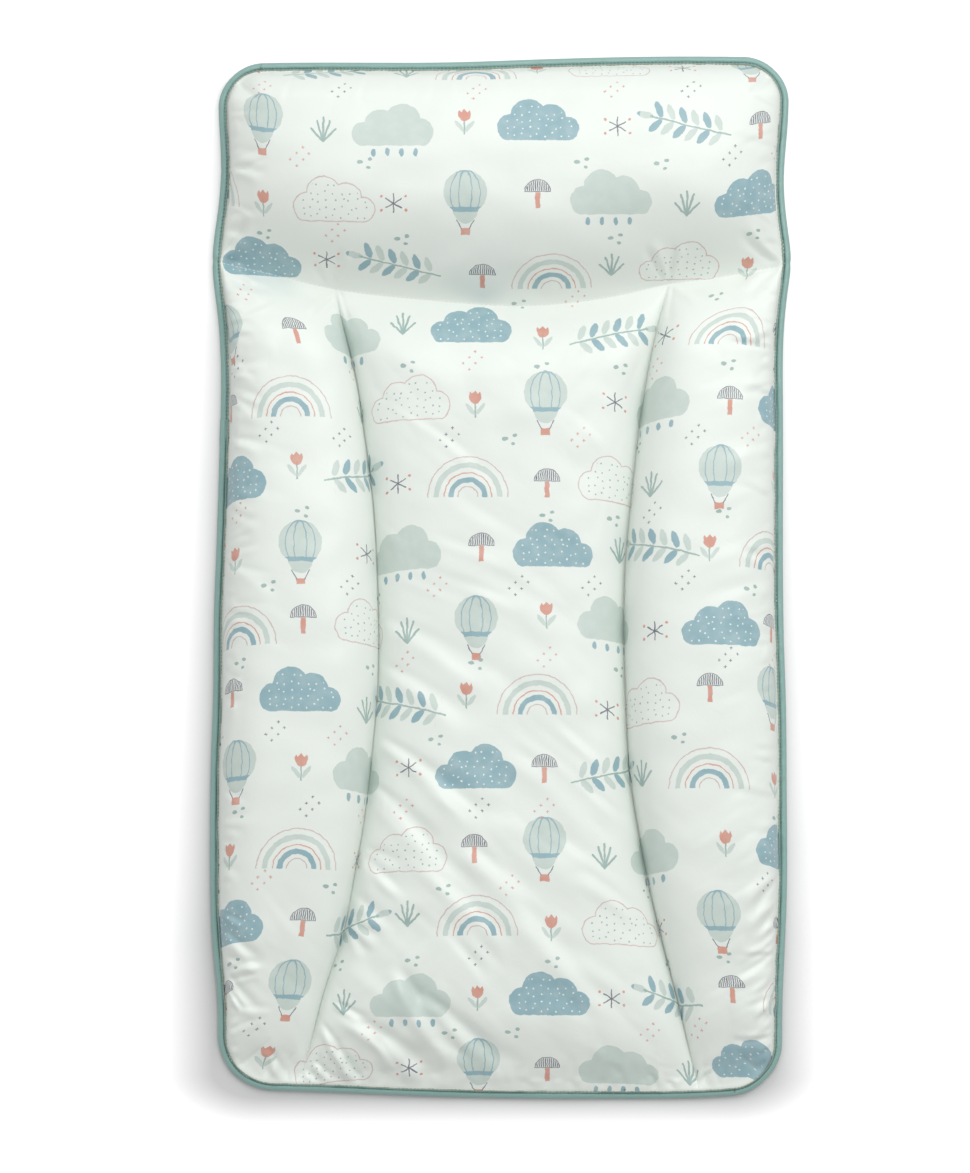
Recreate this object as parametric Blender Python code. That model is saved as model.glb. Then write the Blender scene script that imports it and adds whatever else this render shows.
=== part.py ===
"""Padded changing mat for a baby, lying flat on a table.

Two wipe-clean covers are sewn through along two curved channels and one crosswise crease, so
that they hold four polyester-fibre fillings: a head bolster, two side bolsters and an
hourglass centre pad. A folded tape binds their edges. The head end folds up at the crease.

Metres, +Z up, +Y towards the head end, +X across. The origin is on the table, under the middle.
"""

import math

import bmesh
import bpy

# Whole mat, over the binding
mat_length = 0.750
mat_width = 0.411
corner_radius = 0.032
side_draw_in = 0.003

# Crosswise crease, which curves towards the foot in the middle
crease_from_head = 0.179
crease_bow = 0.031
crease_split = 0.0004

# Curved channels, which leave an hourglass between them
channel_waist = 0.176
channel_waist_from_foot = 0.324
channel_width_at_foot = 0.290
channel_width_at_crease = 0.238
channel_power_to_foot = 1.8
channel_power_to_crease = 2

# Depth of the fillings, and how far from a seam each takes to reach it
centre_loft = 0.033
bolster_loft = 0.048
head_loft = 0.054
foot_run = 0.055
crease_run = 0.065
crest_run = 0.100
head_edge_run = 0.055

# Roundness of the crowns: a larger power is a flatter top with steeper sides
centre_crown_power = 4
bolster_crown_power = 2.4
head_crown_power = 5
run_power = 2
corner_softness = 6

# Sheets, and the clearance between any two layers
cover_thickness = 0.0008
layer_gap = 0.0003
seam_land = 0.002

# The base cover lies on the table and is drawn up to the edge and to each seam
edge_rise = 0.005
edge_roll = 0.018
seam_rise = 0.002
seam_roll = 0.009

# Folded binding tape and its row of stitches
binding_width = 0.006
binding_thickness = 0.0008
binding_ease = 0.001
binding_stitch_inset = 0.0046

# Sewing threads
thread_diameter = 0.0007
crease_stitch_offset = 0.0012
thread_end = 0.002

# Grid lines, as shares of the way between two seams
bolster_line_shares = (0, 0.02, 0.1, 0.28, 0.5, 0.72, 0.9, 0.98, 1)
centre_line_shares = (0, 0.015, 0.07, 0.18, 0.33, 0.5, 0.67, 0.82, 0.93, 0.985, 1)
body_row_shares = (0, 0.005, 0.025, 0.06, 0.11, 0.19, 0.28, 0.37, 0.46, 0.55, 0.64, 0.73, 0.81,
                   0.88, 0.935, 0.975, 0.995, 1)
head_row_shares = (0, 0.015, 0.09, 0.24, 0.42, 0.6, 0.76, 0.89, 0.98, 1)
corner_steps = 6
settling_steps = 12
thread_sides_resolution = 1
sharp_degrees = 50
level_tolerance = 0.000001

# Places worked out from the sizes above
half_length = mat_length / 2
cover_inset = binding_thickness + layer_gap
edge_land = binding_width + binding_ease
crease_middle = half_length - crease_from_head
stack = 2 * cover_thickness + layer_gap
hinge_height = seam_rise + stack


def rise(distance, run):
    """Share of the full loft at a distance from a seam: 0 on its land, 1 from the run onwards."""
    share = min(max(distance / run, 0), 1)
    return 1 - (1 - share) ** run_power


def crown(share, power):
    """Share of the full loft across a pad, where share runs from 0 at one seam to 1 at the other."""
    if share <= 0 or share >= 1:
        return 0
    return 1 - abs(2 * share - 1) ** power


def soft_least(*shares):
    """Soft minimum of shares of the loft. It is 1 where they all are, and rounds the corners."""
    if min(shares) <= 0:
        return 0
    mean = sum(share ** -corner_softness for share in shares) / len(shares)
    return mean ** (-1 / corner_softness)


def crease_at(x):
    """y of the crease's middle line at x."""
    return crease_middle + crease_bow * (2 * x / mat_width) ** 2


def half_width(y):
    """Half the mat's width over the binding at y. The sides draw in between corners and crease."""
    crease_end = crease_at(mat_width / 2)
    foot_corner = corner_radius - half_length
    head_corner = half_length - corner_radius
    for start, end in ((foot_corner, crease_end), (crease_end, head_corner)):
        if start < y < end:
            share = (y - start) / (end - start)
            return mat_width / 2 - side_draw_in * math.sin(math.pi * share) ** 2
    return mat_width / 2


def channel_at(y):
    """Distance of each channel from the mat's middle line at y."""
    waist_y = channel_waist_from_foot - half_length
    if y < waist_y:
        share = (waist_y - y) / channel_waist_from_foot
        widest, power = channel_width_at_foot, channel_power_to_foot
    else:
        crease_end = crease_at(channel_width_at_crease / 2)
        share = min((y - waist_y) / (crease_end - waist_y), 1)
        widest, power = channel_width_at_crease, channel_power_to_crease
    return (channel_waist + (widest - channel_waist) * share ** power) / 2


def loft_at(x, y):
    """Depth of the space for filling between the covers, at a point of the squared-off plan."""
    to_crease = abs(y - crease_at(x)) - seam_land
    side = half_width(y) - edge_land
    if y > crease_at(x):
        to_edge = half_length - edge_land - y
        across = crown((x + side) / (2 * side), head_crown_power)
        return head_loft * soft_least(across, rise(to_crease, crest_run), rise(to_edge, head_edge_run))
    to_edge = y + half_length - edge_land
    ends = rise(to_edge, foot_run), rise(to_crease, crease_run)
    inner = channel_at(y) - seam_land
    if abs(x) < inner:
        across = crown((x + inner) / (2 * inner), centre_crown_power)
        return centre_loft * soft_least(across, *ends)
    outer = channel_at(y) + seam_land
    waist_room = mat_width / 2 - edge_land - channel_waist / 2 - seam_land
    fullness = (side - outer) / waist_room
    across = crown((abs(x) - outer) / (side - outer), bolster_crown_power)
    return bolster_loft * fullness * soft_least(across, *ends)


def base_under(x, y):
    """Height of the base cover's underside above the table."""
    to_edge = min(half_width(y) - abs(x), half_length - abs(y)) - edge_land
    to_seam = abs(y - crease_at(x)) - seam_land
    if y < crease_at(x):
        to_seam = min(to_seam, abs(abs(x) - channel_at(y)) - seam_land)
    at_edge = edge_rise * (1 - rise(to_edge, edge_roll))
    at_seam = seam_rise * (1 - rise(to_seam, seam_roll))
    return max(at_edge, at_seam)


def rounded(x, y):
    """Turns the square corner of the plan into the real round one, keeping distances to the edge."""
    centre_x = mat_width / 2 - corner_radius
    centre_y = half_length - corner_radius
    beyond_x, beyond_y = abs(x) - centre_x, abs(y) - centre_y
    if beyond_x <= 0 or beyond_y <= 0:
        return x, y
    reach = max(beyond_x, beyond_y)
    angle = math.pi / 4 * min(beyond_x, beyond_y) / reach
    run_x, run_y = reach * math.cos(angle), reach * math.sin(angle)
    if beyond_y > beyond_x:
        run_x, run_y = run_y, run_x
    return math.copysign(centre_x + run_x, x), math.copysign(centre_y + run_y, y)


def between(start, end, shares):
    return [start + (end - start) * share for share in shares]


def column_lines(y):
    """x of each grid line across the mat at y, from the left edge of the covers to the right."""
    side = half_width(y)
    channel = channel_at(y)
    bolster = between(side - edge_land, channel + seam_land, bolster_line_shares)
    centre = between(seam_land - channel, channel - seam_land, centre_line_shares)
    left = [cover_inset - side] + [-x for x in bolster]
    right = bolster[::-1] + [side - cover_inset]
    return left + centre + right


bolster_lines = len(bolster_line_shares)
centre_lines = len(centre_line_shares)
column_count = 2 * bolster_lines + centre_lines + 2
left_columns = range(1, 1 + bolster_lines)
centre_columns = range(1 + bolster_lines, 1 + bolster_lines + centre_lines)
right_columns = range(1 + bolster_lines + centre_lines, column_count - 1)
inner_columns = range(1, column_count - 1)


def plan_point(column, y_at):
    """Point of one grid line on the row whose y at each x is given by y_at."""
    y = y_at(0)
    for _ in range(settling_steps):
        x = column_lines(y)[column]
        y = y_at(x)
    return x, y


def plan_row(y_at):
    return [plan_point(column, y_at) for column in range(column_count)]


def body_plan():
    """Rows of plan points from the foot edge of the covers to the crease."""
    foot = edge_land - half_length

    def row_at(share):
        return lambda x: foot + share * (crease_at(x) - seam_land - foot)

    rows = [plan_row(row_at(share)) for share in body_row_shares]
    edge = [(x, cover_inset - half_length) for x, _ in rows[0]]
    crease = plan_row(lambda x: crease_at(x) - crease_split / 2)
    return [edge] + rows + [crease]


def head_plan():
    """Rows of plan points from the crease to the head edge of the covers."""
    head = half_length - edge_land

    def row_at(share):
        return lambda x: head - (1 - share) * (head - crease_at(x) - seam_land)

    rows = [plan_row(row_at(share)) for share in head_row_shares]
    edge = [(x, half_length - cover_inset) for x, _ in rows[-1]]
    crease = plan_row(lambda x: crease_at(x) + crease_split / 2)
    return [crease] + rows + [edge]


def base_over(x, y):
    return base_under(x, y) + cover_thickness


def filling_under(x, y):
    return base_over(x, y) + layer_gap


def filling_over(x, y):
    return base_over(x, y) + loft_at(x, y)


def top_under(x, y):
    return base_over(x, y) + layer_gap + loft_at(x, y)


def top_over(x, y):
    return top_under(x, y) + cover_thickness


def principled(name, colour, roughness):
    material = bpy.data.materials.new(name)
    material.use_nodes = True
    shader = material.node_tree.nodes["Principled BSDF"]
    shader.inputs["Base Color"].default_value = (*colour, 1)
    shader.inputs["Roughness"].default_value = roughness
    shader.inputs["Metallic"].default_value = 0
    return material


def add_object(name, data, material, parent):
    """Links an object whose mesh or curve was made around its parent's origin."""
    data.materials.append(material)
    piece = bpy.data.objects.new(name, data)
    bpy.context.scene.collection.objects.link(piece)
    piece.parent = parent
    return piece


def add_layer(name, plan, columns, rows, under, over, material, parent):
    """Closed solid between two height functions over some of a plan's columns and rows."""
    mesh = bpy.data.meshes.new(name)
    layer = bmesh.new()
    sheets = []
    for height in (under, over):
        sheet = []
        for j in rows:
            line = []
            for i in columns:
                x, y = plan[j][i]
                real_x, real_y = rounded(x, y)
                line.append(layer.verts.new((real_x, real_y - parent.location.y,
                                             height(x, y) - parent.location.z)))
            sheet.append(line)
        sheets.append(sheet)
    lower, upper = sheets
    last_row, last_column = len(rows) - 1, len(columns) - 1
    for j in range(last_row):
        for i in range(last_column):
            layer.faces.new((lower[j][i], lower[j + 1][i], lower[j + 1][i + 1], lower[j][i + 1]))
            layer.faces.new((upper[j][i], upper[j][i + 1], upper[j + 1][i + 1], upper[j + 1][i]))
    rim = [(0, i) for i in range(last_column)]
    rim += [(j, last_column) for j in range(last_row)]
    rim += [(last_row, i) for i in range(last_column, 0, -1)]
    rim += [(j, 0) for j in range(last_row, 0, -1)]
    for (j, i), (next_j, next_i) in zip(rim, rim[1:] + rim[:1]):
        layer.faces.new((lower[j][i], lower[next_j][next_i], upper[next_j][next_i], upper[j][i]))
    bmesh.ops.triangulate(layer, faces=[face for face in layer.faces if not flat(face)])
    merge_flat_faces(layer)
    layer.to_mesh(mesh)
    layer.free()
    mesh.shade_smooth()
    mesh.set_sharp_from_angle(angle=math.radians(sharp_degrees))
    return add_object(name, mesh, material, parent)


def flat(face):
    """True for a face that lies level and whose corners share one height."""
    heights = [vertex.co.z for vertex in face.verts]
    return max(heights) - min(heights) < level_tolerance


def merge_flat_faces(layer):
    """Joins the level faces that lie side by side into few large ones."""
    level = {edge for edge in layer.edges if all(flat(face) for face in edge.link_faces)}
    inner = [vertex for vertex in layer.verts if level.issuperset(vertex.link_edges)]
    bmesh.ops.dissolve_verts(layer, verts=inner)


def add_thread(name, points, material, parent):
    """Thin tube along points, which stands for one thread of a row of lockstitches."""
    curve = bpy.data.curves.new(name, "CURVE")
    curve.dimensions = "3D"
    curve.bevel_depth = thread_diameter / 2
    curve.bevel_resolution = thread_sides_resolution
    curve.use_fill_caps = True
    spline = curve.splines.new("POLY")
    spline.points.add(len(points) - 1)
    for point, (x, y, z) in zip(spline.points, points):
        point.co = (x, y - parent.location.y, z - parent.location.z, 1)
    return add_object(name, curve, material, parent)


thread_offset = layer_gap + thread_diameter / 2


def seam_threads(name, line, material, parent):
    """Needle thread on the top cover and bobbin thread under the base cover, along a plan line."""
    above = [(x, y, top_over(x, y) + thread_offset) for x, y in line]
    below = [(x, y, base_under(x, y) - thread_offset) for x, y in line]
    add_thread(name + "_needle_thread", above, material, parent)
    add_thread(name + "_bobbin_thread", below, material, parent)


def rim_points(inset, plan, toward, end_gap):
    """Plan points at an inset from the mat's outline, round the foot (-1) or the head (+1) end."""
    centre_x = mat_width / 2 - corner_radius
    centre_y = half_length - corner_radius
    start_x = inset - mat_width / 2
    start_y = crease_at(start_x) + toward * end_gap
    side_rows = [row[0][1] for row in plan]
    beyond = [y for y in side_rows if (y - start_y) * toward > edge_land and y * toward < centre_y]
    left = [(start_x, start_y)]
    left += [(inset - half_width(y), y) for y in sorted(beyond, reverse=toward < 0)]
    radius = corner_radius - inset
    for step in range(corner_steps + 1):
        angle = math.pi / 2 * step / corner_steps
        left.append((-centre_x - radius * math.cos(angle),
                     toward * (centre_y + radius * math.sin(angle))))
    return left + [(-x, y) for x, y in reversed(left)]


edge_under = edge_rise
edge_over = edge_rise + stack


def add_binding(name, plan, toward, material, parent):
    """Tape folded over the edges of both covers: a sideways U, swept round one end of the mat."""
    low = edge_under - layer_gap - binding_thickness
    high = edge_over + layer_gap + binding_thickness
    turn = binding_thickness
    profile = ((binding_width, low), (turn, low), (0, low + turn), (0, high - turn), (turn, high),
               (binding_width, high), (binding_width, high - binding_thickness),
               (binding_thickness, high - binding_thickness),
               (binding_thickness, low + binding_thickness),
               (binding_width, low + binding_thickness))
    mesh = bpy.data.meshes.new(name)
    tape = bmesh.new()
    rings = []
    for inset, z in profile:
        points = rim_points(inset, plan, toward, crease_split / 2)
        rings.append([tape.verts.new((x, y - parent.location.y, z - parent.location.z)) for x, y in points])
    for near, far in zip(rings, rings[1:] + rings[:1]):
        for k in range(len(near) - 1):
            tape.faces.new((near[k], near[k + 1], far[k + 1], far[k]))
    for end in (0, -1):
        tape.faces.new([ring[end] for ring in rings])
    bmesh.ops.recalc_face_normals(tape, faces=tape.faces)
    bmesh.ops.triangulate(tape, faces=tape.faces)
    tape.to_mesh(mesh)
    tape.free()
    return add_object(name, mesh, material, parent)


def binding_threads(name, plan, toward, material, parent):
    """The two threads of the stitch row that holds the tape, near its inner edges."""
    line = rim_points(binding_stitch_inset, plan, toward, thread_end)
    reach = layer_gap + binding_thickness + thread_offset
    above = [(x, y, edge_over + reach) for x, y in line]
    below = [(x, y, edge_under - reach) for x, y in line]
    add_thread(name + "_needle_thread", above, material, parent)
    add_thread(name + "_bobbin_thread", below, material, parent)


def add_empty(name, y, z):
    empty = bpy.data.objects.new(name, None)
    empty.location = (0, y, z)
    bpy.context.scene.collection.objects.link(empty)
    return empty


def build_covers(plan, prefix, material, parent):
    columns, rows = range(len(plan[0])), range(len(plan))
    add_layer(prefix + "_top_cover", plan, columns, rows, top_under, top_over, material, parent)
    add_layer(prefix + "_base_cover", plan, columns, rows, base_under, base_over, material, parent)


def build_filling(name, plan, columns, material, parent):
    """Fibre filling, which stops one grid line short of the seams all round it."""
    rows = range(2, len(plan) - 2)
    add_layer(name, plan, columns[1:-1], rows, filling_under, filling_over, material, parent)


def build_seams(plan, material, parent):
    """Stitch rows of the two channels and of the crease, which stays with the body."""
    seams = (("left_channel", centre_columns[0], -seam_land),
             ("right_channel", centre_columns[-1], seam_land))
    for name, column, to_seam in seams:
        line = [(row[column][0] + to_seam, row[column][1]) for row in plan[1:-1]]
        seam_threads(name, line, material, parent)
    crease = [(x, crease_at(x) - crease_stitch_offset) for x, _ in plan[-1][1:-1]]
    seam_threads("head_seam", crease, material, parent)


def main():
    for leftover in list(bpy.data.objects):
        bpy.data.objects.remove(leftover)
    cover = principled("coated_fabric", (0.90, 0.92, 0.90), 0.45)
    tape = principled("binding_tape", (0.24, 0.36, 0.32), 0.7)
    fibre = principled("polyester_fibre", (0.85, 0.85, 0.83), 0.95)
    white_thread = principled("white_thread", (0.82, 0.83, 0.80), 0.6)
    tape_thread = principled("tape_thread", (0.30, 0.42, 0.38), 0.6)

    body_frame = add_empty("mat_body_frame", 0, 0)
    head_frame = add_empty("head_fold_axis", crease_middle, hinge_height)
    body, head = body_plan(), head_plan()

    build_covers(body, "body", cover, body_frame)
    build_filling("centre_pad_filling", body, centre_columns, fibre, body_frame)
    build_filling("left_bolster_filling", body, left_columns, fibre, body_frame)
    build_filling("right_bolster_filling", body, right_columns, fibre, body_frame)
    build_seams(body, white_thread, body_frame)
    add_binding("body_edge_binding", body, -1, tape, body_frame)
    binding_threads("body_binding", body, -1, tape_thread, body_frame)

    build_covers(head, "head", cover, head_frame)
    build_filling("head_bolster_filling", head, inner_columns, fibre, head_frame)
    add_binding("head_edge_binding", head, 1, tape, head_frame)
    binding_threads("head_binding", head, 1, tape_thread, head_frame)


main()
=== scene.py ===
"""Dresses a padded changing mat in cloth, wadding, binding tape and stitches, on a white studio floor."""

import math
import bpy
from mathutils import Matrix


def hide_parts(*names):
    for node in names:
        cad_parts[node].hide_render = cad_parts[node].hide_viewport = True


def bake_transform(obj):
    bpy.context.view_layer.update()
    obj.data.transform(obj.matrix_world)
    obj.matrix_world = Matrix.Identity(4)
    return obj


bl_info = {
    "name": "Padded changing mat",
    "version": (1, 0, 0),
    "blender": (4, 5, 0),
    "location": "3D View > Sidebar > Changing mat",
    "description": "Makes the covers, wadding, edge binding and stitches of a folding changing mat",
    "category": "Object",
}

from functools import reduce

import bpy
import numpy as np
from mathutils import Vector

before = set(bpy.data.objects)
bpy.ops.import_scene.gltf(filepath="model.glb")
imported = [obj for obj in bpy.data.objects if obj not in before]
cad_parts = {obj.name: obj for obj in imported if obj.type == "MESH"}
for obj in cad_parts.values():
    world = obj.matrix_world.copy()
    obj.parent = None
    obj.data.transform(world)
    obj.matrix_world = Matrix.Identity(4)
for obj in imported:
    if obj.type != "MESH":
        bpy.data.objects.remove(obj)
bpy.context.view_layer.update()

# The mat's own lines, in millimetres from its middle, with the head at the top

# Edges and channels as (y, x)
LEFT_EDGE = [
    (-374.6, -205.5), (-303.4, -203.3), (-260.2, -206.9), (-202.6, -208.4), (-130.6, -207.7),
    (-87.5, -206.2), (-22.7, -205.5), (13.3, -204.1), (56.5, -202.6), (103.3, -201.2), (150.1, -200.5),
    (193.3, -203.3), (227.8, -206.6), (265.2, -202.6), (301.2, -200.5), (330.0, -201.9), (374.6, -201.9),
]
RIGHT_EDGE = [
    (-374.6, 204.1), (-303.4, 204.1), (-231.4, 206.9), (-159.4, 206.9), (-87.5, 206.2), (-44.3, 204.8),
    (13.3, 204.1), (128.5, 204.1), (178.9, 204.8), (207.7, 207.7), (227.8, 209.8), (250.8, 207.7),
    (286.8, 204.8), (330.0, 207.7), (374.6, 207.7),
]
LEFT_CHANNEL = [
    (-374.6, -148.0), (-327.9, -134.2), (-297.6, -126.3), (-253.0, -112.0), (-219.9, -105.4),
    (-188.9, -99.7), (-120.6, -91.1), (-78.8, -87.6), (-9.0, -87.5), (62.3, -91.8), (106.2, -97.5),
    (140.7, -102.6), (181.7, -112.4), (206.9, -118.0), (290.0, -124.0), (374.6, -126.0),
]
RIGHT_CHANNEL = [
    (-374.6, 145.5), (-340.8, 137.1), (-310.6, 129.9), (-263.8, 117.7), (-211.3, 105.4), (-180.3, 99.7),
    (-142.2, 93.9), (-96.8, 91.1), (-51.5, 89.6), (7.6, 90.3), (49.3, 93.9), (92.5, 98.6),
    (144.3, 106.0), (194.0, 117.0), (213.4, 122.0), (290.0, 127.0), (374.6, 129.0),
]

# Head and foot edges and the crease as (x, y)
HEAD_EDGE = [
    (-201.9, 370.3), (-143.6, 371.4), (-35.6, 371.6), (14.8, 373.2), (72.3, 375.0), (137.1, 375.8),
    (207.7, 375.0),
]
FOOT_EDGE = [
    (-206.9, -368.2), (-143.6, -369.6), (-71.6, -372.5), (0.4, -374.6), (72.3, -375.0), (144.3, -374.2),
    (206.2, -369.6),
]
CREASE = [
    (-206.0, 228.4), (-160.0, 218.0), (-118.4, 208.6), (-50.0, 200.6), (0.4, 196.8), (57.2, 199.4),
    (99.7, 207.2), (122.0, 212.4), (142.9, 215.0), (170.9, 219.2), (205.5, 226.0),
]

# Folds of the printed cover, in millimetres: start, end, widths at both ends, height and bow
FOLDS = [
    # Across the foot end of the centre pad, from the left channel
    (-114, -316, -54, -367, 4.6, 8.5, 3.4, 3), (-76, -284, -28, -357, 5.2, 9.8, 3.4, -3),
    (-122, -336, -106, -361, 2.5, 3.9, 2.1, 0), (-130, -321, -104, -366, 2.6, 4.2, 2.2, 1),
    (-118, -306, -98, -318, 2.1, 3.4, 2.1, 0), (-58, -300, -14, -352, 4.4, 8.4, 2.6, 2),
    (-92, -330, -72, -362, 2.3, 3.6, 1.4, 1), (-40, -318, 4, -360, 5.0, 9.0, 1.8, -2),
    # Fans of small folds where the left channel is drawn in
    (-102, -199, -84, -226, 3.2, 8.0, 1.4, 1), (-101, -201, -93, -230, 2.6, 5.9, 0.9, -1),
    (-101, -196, -76, -212, 2.9, 7.0, 1.4, 1), (-110, -249, -90, -263, 2.5, 5.5, 1.7, 1),
    (-111, -252, -100, -272, 2.2, 5.0, 1.4, 0), (-110, -246, -84, -250, 2.6, 6.2, 0.8, 0),
    (-88, -118, -23, -177, 3.6, 8.5, 1.8, 4), (-95, -150, -52, -196, 3.1, 7.2, 1.5, 3),
    (-97, -158, -21, -250, 5.6, 11.0, 2.0, 5), (-88, -34, 4, -94, 4.7, 11.1, 1.0, 5),
    (-88, -66, -30, -112, 3.9, 9.1, 1.2, 4), (-30, -196, 28, -252, 6.4, 12.5, 1.6, 3),
    (4, -128, 66, -190, 5.9, 11.7, 0.8, 4), (8, -236, 62, -296, 6.5, 12.5, 1.4, -3),
    (52, -214, 98, -246, 6.5, 3.9, 1.0, 2), (30, -262, 84, -318, 7.8, 6.5, 1.0, -4),
    (-20, -6, 52, -56, 6.5, 13.0, 0.7, 4),
    # Left bolster, in from the binding
    (-198, -254, -175, -279, 2.5, 5.4, 1.9, 1), (-198, -283, -178, -313, 2.5, 5.4, 1.8, -1),
    (-195, -295, -186, -309, 1.5, 2.4, 2.2, 0), (-198, -240, -184, -248, 1.5, 3.0, 1.7, 0),
    (-145, -352, -132, -366, 1.8, 3.0, 2.2, 0), (-134, -349, -121, -364, 1.8, 3.0, 2.1, 0),
    (-168, -338, -158, -362, 2.4, 4.0, 1.3, 0), (-198, 98, -170, 88, 2.0, 4.5, 1.6, 1),
    (-198, 128, -176, 116, 1.8, 4.0, 1.5, 0),
    # Right bolster, in from the binding
    (199, -230, 175, -251, 2.3, 5.7, 2.0, -2), (198, -211, 173, -232, 2.3, 5.7, 2.0, -2),
    (198, -246, 180, -256, 2.1, 4.4, 1.3, 0), (197, -281, 178, -296, 2.2, 4.7, 2.0, 0),
    (196, -300, 182, -312, 1.6, 3.0, 1.6, 0), (150, -352, 136, -366, 1.8, 3.0, 1.7, 0),
    (172, 16, 198, 4, 3.0, 1.8, 1.3, 0),
    # Where the channels and the binding meet the crease
    (-118, 206, -113, 178, 1.8, 3.6, 2.4, 0), (-118, 206, -139, 190, 1.8, 4.2, 1.7, 0),
    (-118, 209, -107, 231, 1.8, 4.2, 2.2, 0), (-121, 210, -129, 228, 1.8, 4.0, 1.6, 0),
    (122, 212, 114, 184, 1.8, 3.6, 2.3, 0), (122, 212, 143, 196, 1.8, 4.2, 1.7, 0),
    (122, 214, 110, 238, 1.8, 4.4, 2.4, 0), (124, 214, 131, 236, 1.8, 4.2, 2.2, 0),
    (-199, 228, -172, 207, 1.8, 5.0, 2.3, 2), (-199, 230, -176, 250, 1.8, 5.0, 2.3, -2),
    (202, 227, 174, 208, 1.8, 5.0, 2.3, -2), (202, 229, 178, 252, 1.8, 5.0, 2.3, 2),
    (-195, 292, -170, 282, 1.8, 4.2, 1.6, 0), (-60, 206, -20, 226, 6.0, 12.0, 0.9, 0),
    (40, 205, 20, 232, 6.0, 12.0, 0.9, 0),
]

# Slack areas of the cover: middle, reach, way across the waves in degrees, half their pitch and
# height, in metres
SLACK_WAVES = [
    ((-0.060, -0.275), (0.070, 0.110), 47, 0.0138, 0.0019),
    ((0.045, -0.200), (0.080, 0.140), 50, 0.0135, 0.0011),
    ((0.000, 0.020), (0.090, 0.150), 58, 0.0140, 0.0007),
    ((-0.165, -0.300), (0.040, 0.080), 42, 0.0115, 0.0010),
    ((0.180, -0.255), (0.032, 0.110), 128, 0.0095, 0.0013),
    ((-0.180, 0.080), (0.030, 0.150), 66, 0.0130, 0.0012),
    ((0.175, 0.060), (0.035, 0.160), 112, 0.0130, 0.0007),
]

# Spans of the edge where the binding gathers the cover: side, from, to, spacing and height
PUCKERS = [
    ("left", -360, -255, 7, 1.1), ("left", -240, -150, 8, 0.8), ("left", -100, -20, 6, 1.0),
    ("left", -15, 60, 7, 0.9), ("left", 75, 215, 6, 1.0), ("left", 240, 345, 10, 0.6),
    ("right", -350, -225, 6, 1.2), ("right", -200, -80, 9, 0.7), ("right", -70, -30, 6, 0.9),
    ("right", -20, 120, 9, 0.6), ("right", 130, 215, 6, 1.0), ("right", 240, 345, 11, 0.5),
    ("foot", -165, -60, 6, 1.1), ("foot", -50, 165, 7, 0.9),
    ("head", -165, 165, 14, 0.35),
]


def smooth_line(points):
    """Natural cubic curve through points given in millimetres, as a function in metres."""
    at, value = np.array(sorted(points)).T / 1000
    step = np.diff(at)
    slope = np.diff(value) / step
    last = len(at) - 1
    system, known = np.eye(last + 1), np.zeros(last + 1)
    for k in range(1, last):
        system[k, k - 1:k + 2] = step[k - 1], 2 * (step[k - 1] + step[k]), step[k]
        known[k] = 6 * (slope[k] - slope[k - 1])
    bend = np.linalg.solve(system, known)

    def line(x):
        x = np.clip(x, at[0], at[-1])
        k = np.clip(np.searchsorted(at, x) - 1, 0, last - 1)
        before, after, span = x - at[k], at[k + 1] - x, step[k]
        curve = (bend[k] * after ** 3 + bend[k + 1] * before ** 3) / (6 * span)
        return (curve + (value[k] / span - bend[k] * span / 6) * after
                + (value[k + 1] / span - bend[k + 1] * span / 6) * before)

    return line


left_edge, right_edge = smooth_line(LEFT_EDGE), smooth_line(RIGHT_EDGE)
left_channel, right_channel = smooth_line(LEFT_CHANNEL), smooth_line(RIGHT_CHANNEL)
head_edge, foot_edge, crease = smooth_line(HEAD_EDGE), smooth_line(FOOT_EDGE), smooth_line(CREASE)

# Each edge's line and the way into the mat from it
EDGES = {"left": (left_edge, 1), "right": (right_edge, -1), "foot": (foot_edge, 1), "head": (head_edge, -1)}

# Corner radii in metres: sign of x, sign of y, radius
CORNERS = [(-1, 1, 0.032), (1, 1, 0.032), (-1, -1, 0.042), (1, -1, 0.036)]

# Layers of the mat, in metres, as the frame has them
COVER = 0.0008
LAYER_GAP = 0.0003
EDGE_RISE, EDGE_ROLL = 0.005, 0.018
SEAM_RISE, SEAM_ROLL = 0.002, 0.009
COVER_INSET, EDGE_LAND = 0.0011, 0.007
SEAM_LAND, SEAM_LINE = 0.0009, 0.0003
STACK = 2 * COVER + LAYER_GAP
EDGE_INSETS = (COVER_INSET, 0.0026, 0.0041, 0.0056, EDGE_LAND)

# How flat each pad is on top, from 2, round, upwards, and how full its shoulders are, from 1 downwards
HEAD_CROWN, BOLSTER_CROWN, CENTRE_CROWN = 6.0, 3.3, 5.4
CROWN_SHOULDER = 0.45
BOLSTER_WIDTH = 0.1085

# Distances in metres over which the pads rise: from the crease, from the foot, and from the head's
# edge as shares with their own distances. The body is thinner by a share over its foot end.
HEAD_RUN, BODY_RUN, FOOT_RUN = 0.075, 0.055, 0.060
HEAD_EDGE_RUNS = ((0.6, 0.024), (0.4, 0.070))
THINNER_AT_FOOT, THINNER_OVER = 0.20, 0.17

# How much closer the plan's grid lines are near the seams
CROWDING = 0.28

# How steeply the edge hangs outside the pads: everywhere, and more past a place towards the foot
HANG, FOOT_HANG, HANG_FROM, HANG_OVER = 0.18, 0.32, -0.15, 0.20

# A fold's ridge falls off by this power and has a valley beside it, placed in the ridge's widths
RIDGE_POWER, VALLEY_DEPTH, VALLEY_PLACE, VALLEY_WIDTH = 1.7, 0.95, 1.6, 0.8

# Gathers along the binding, in millimetres: least length, what the longest have more, and the distance
# of their start from the edge. They lean by a share of their length, more at the right side's foot.
GATHER_LENGTH, GATHER_LONGER, GATHER_INSET = 9, 28, 6
GATHER_LEAN, RIGHT_FOOT_LEAN, RIGHT_FOOT = 0.55, 0.45, -200


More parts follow.
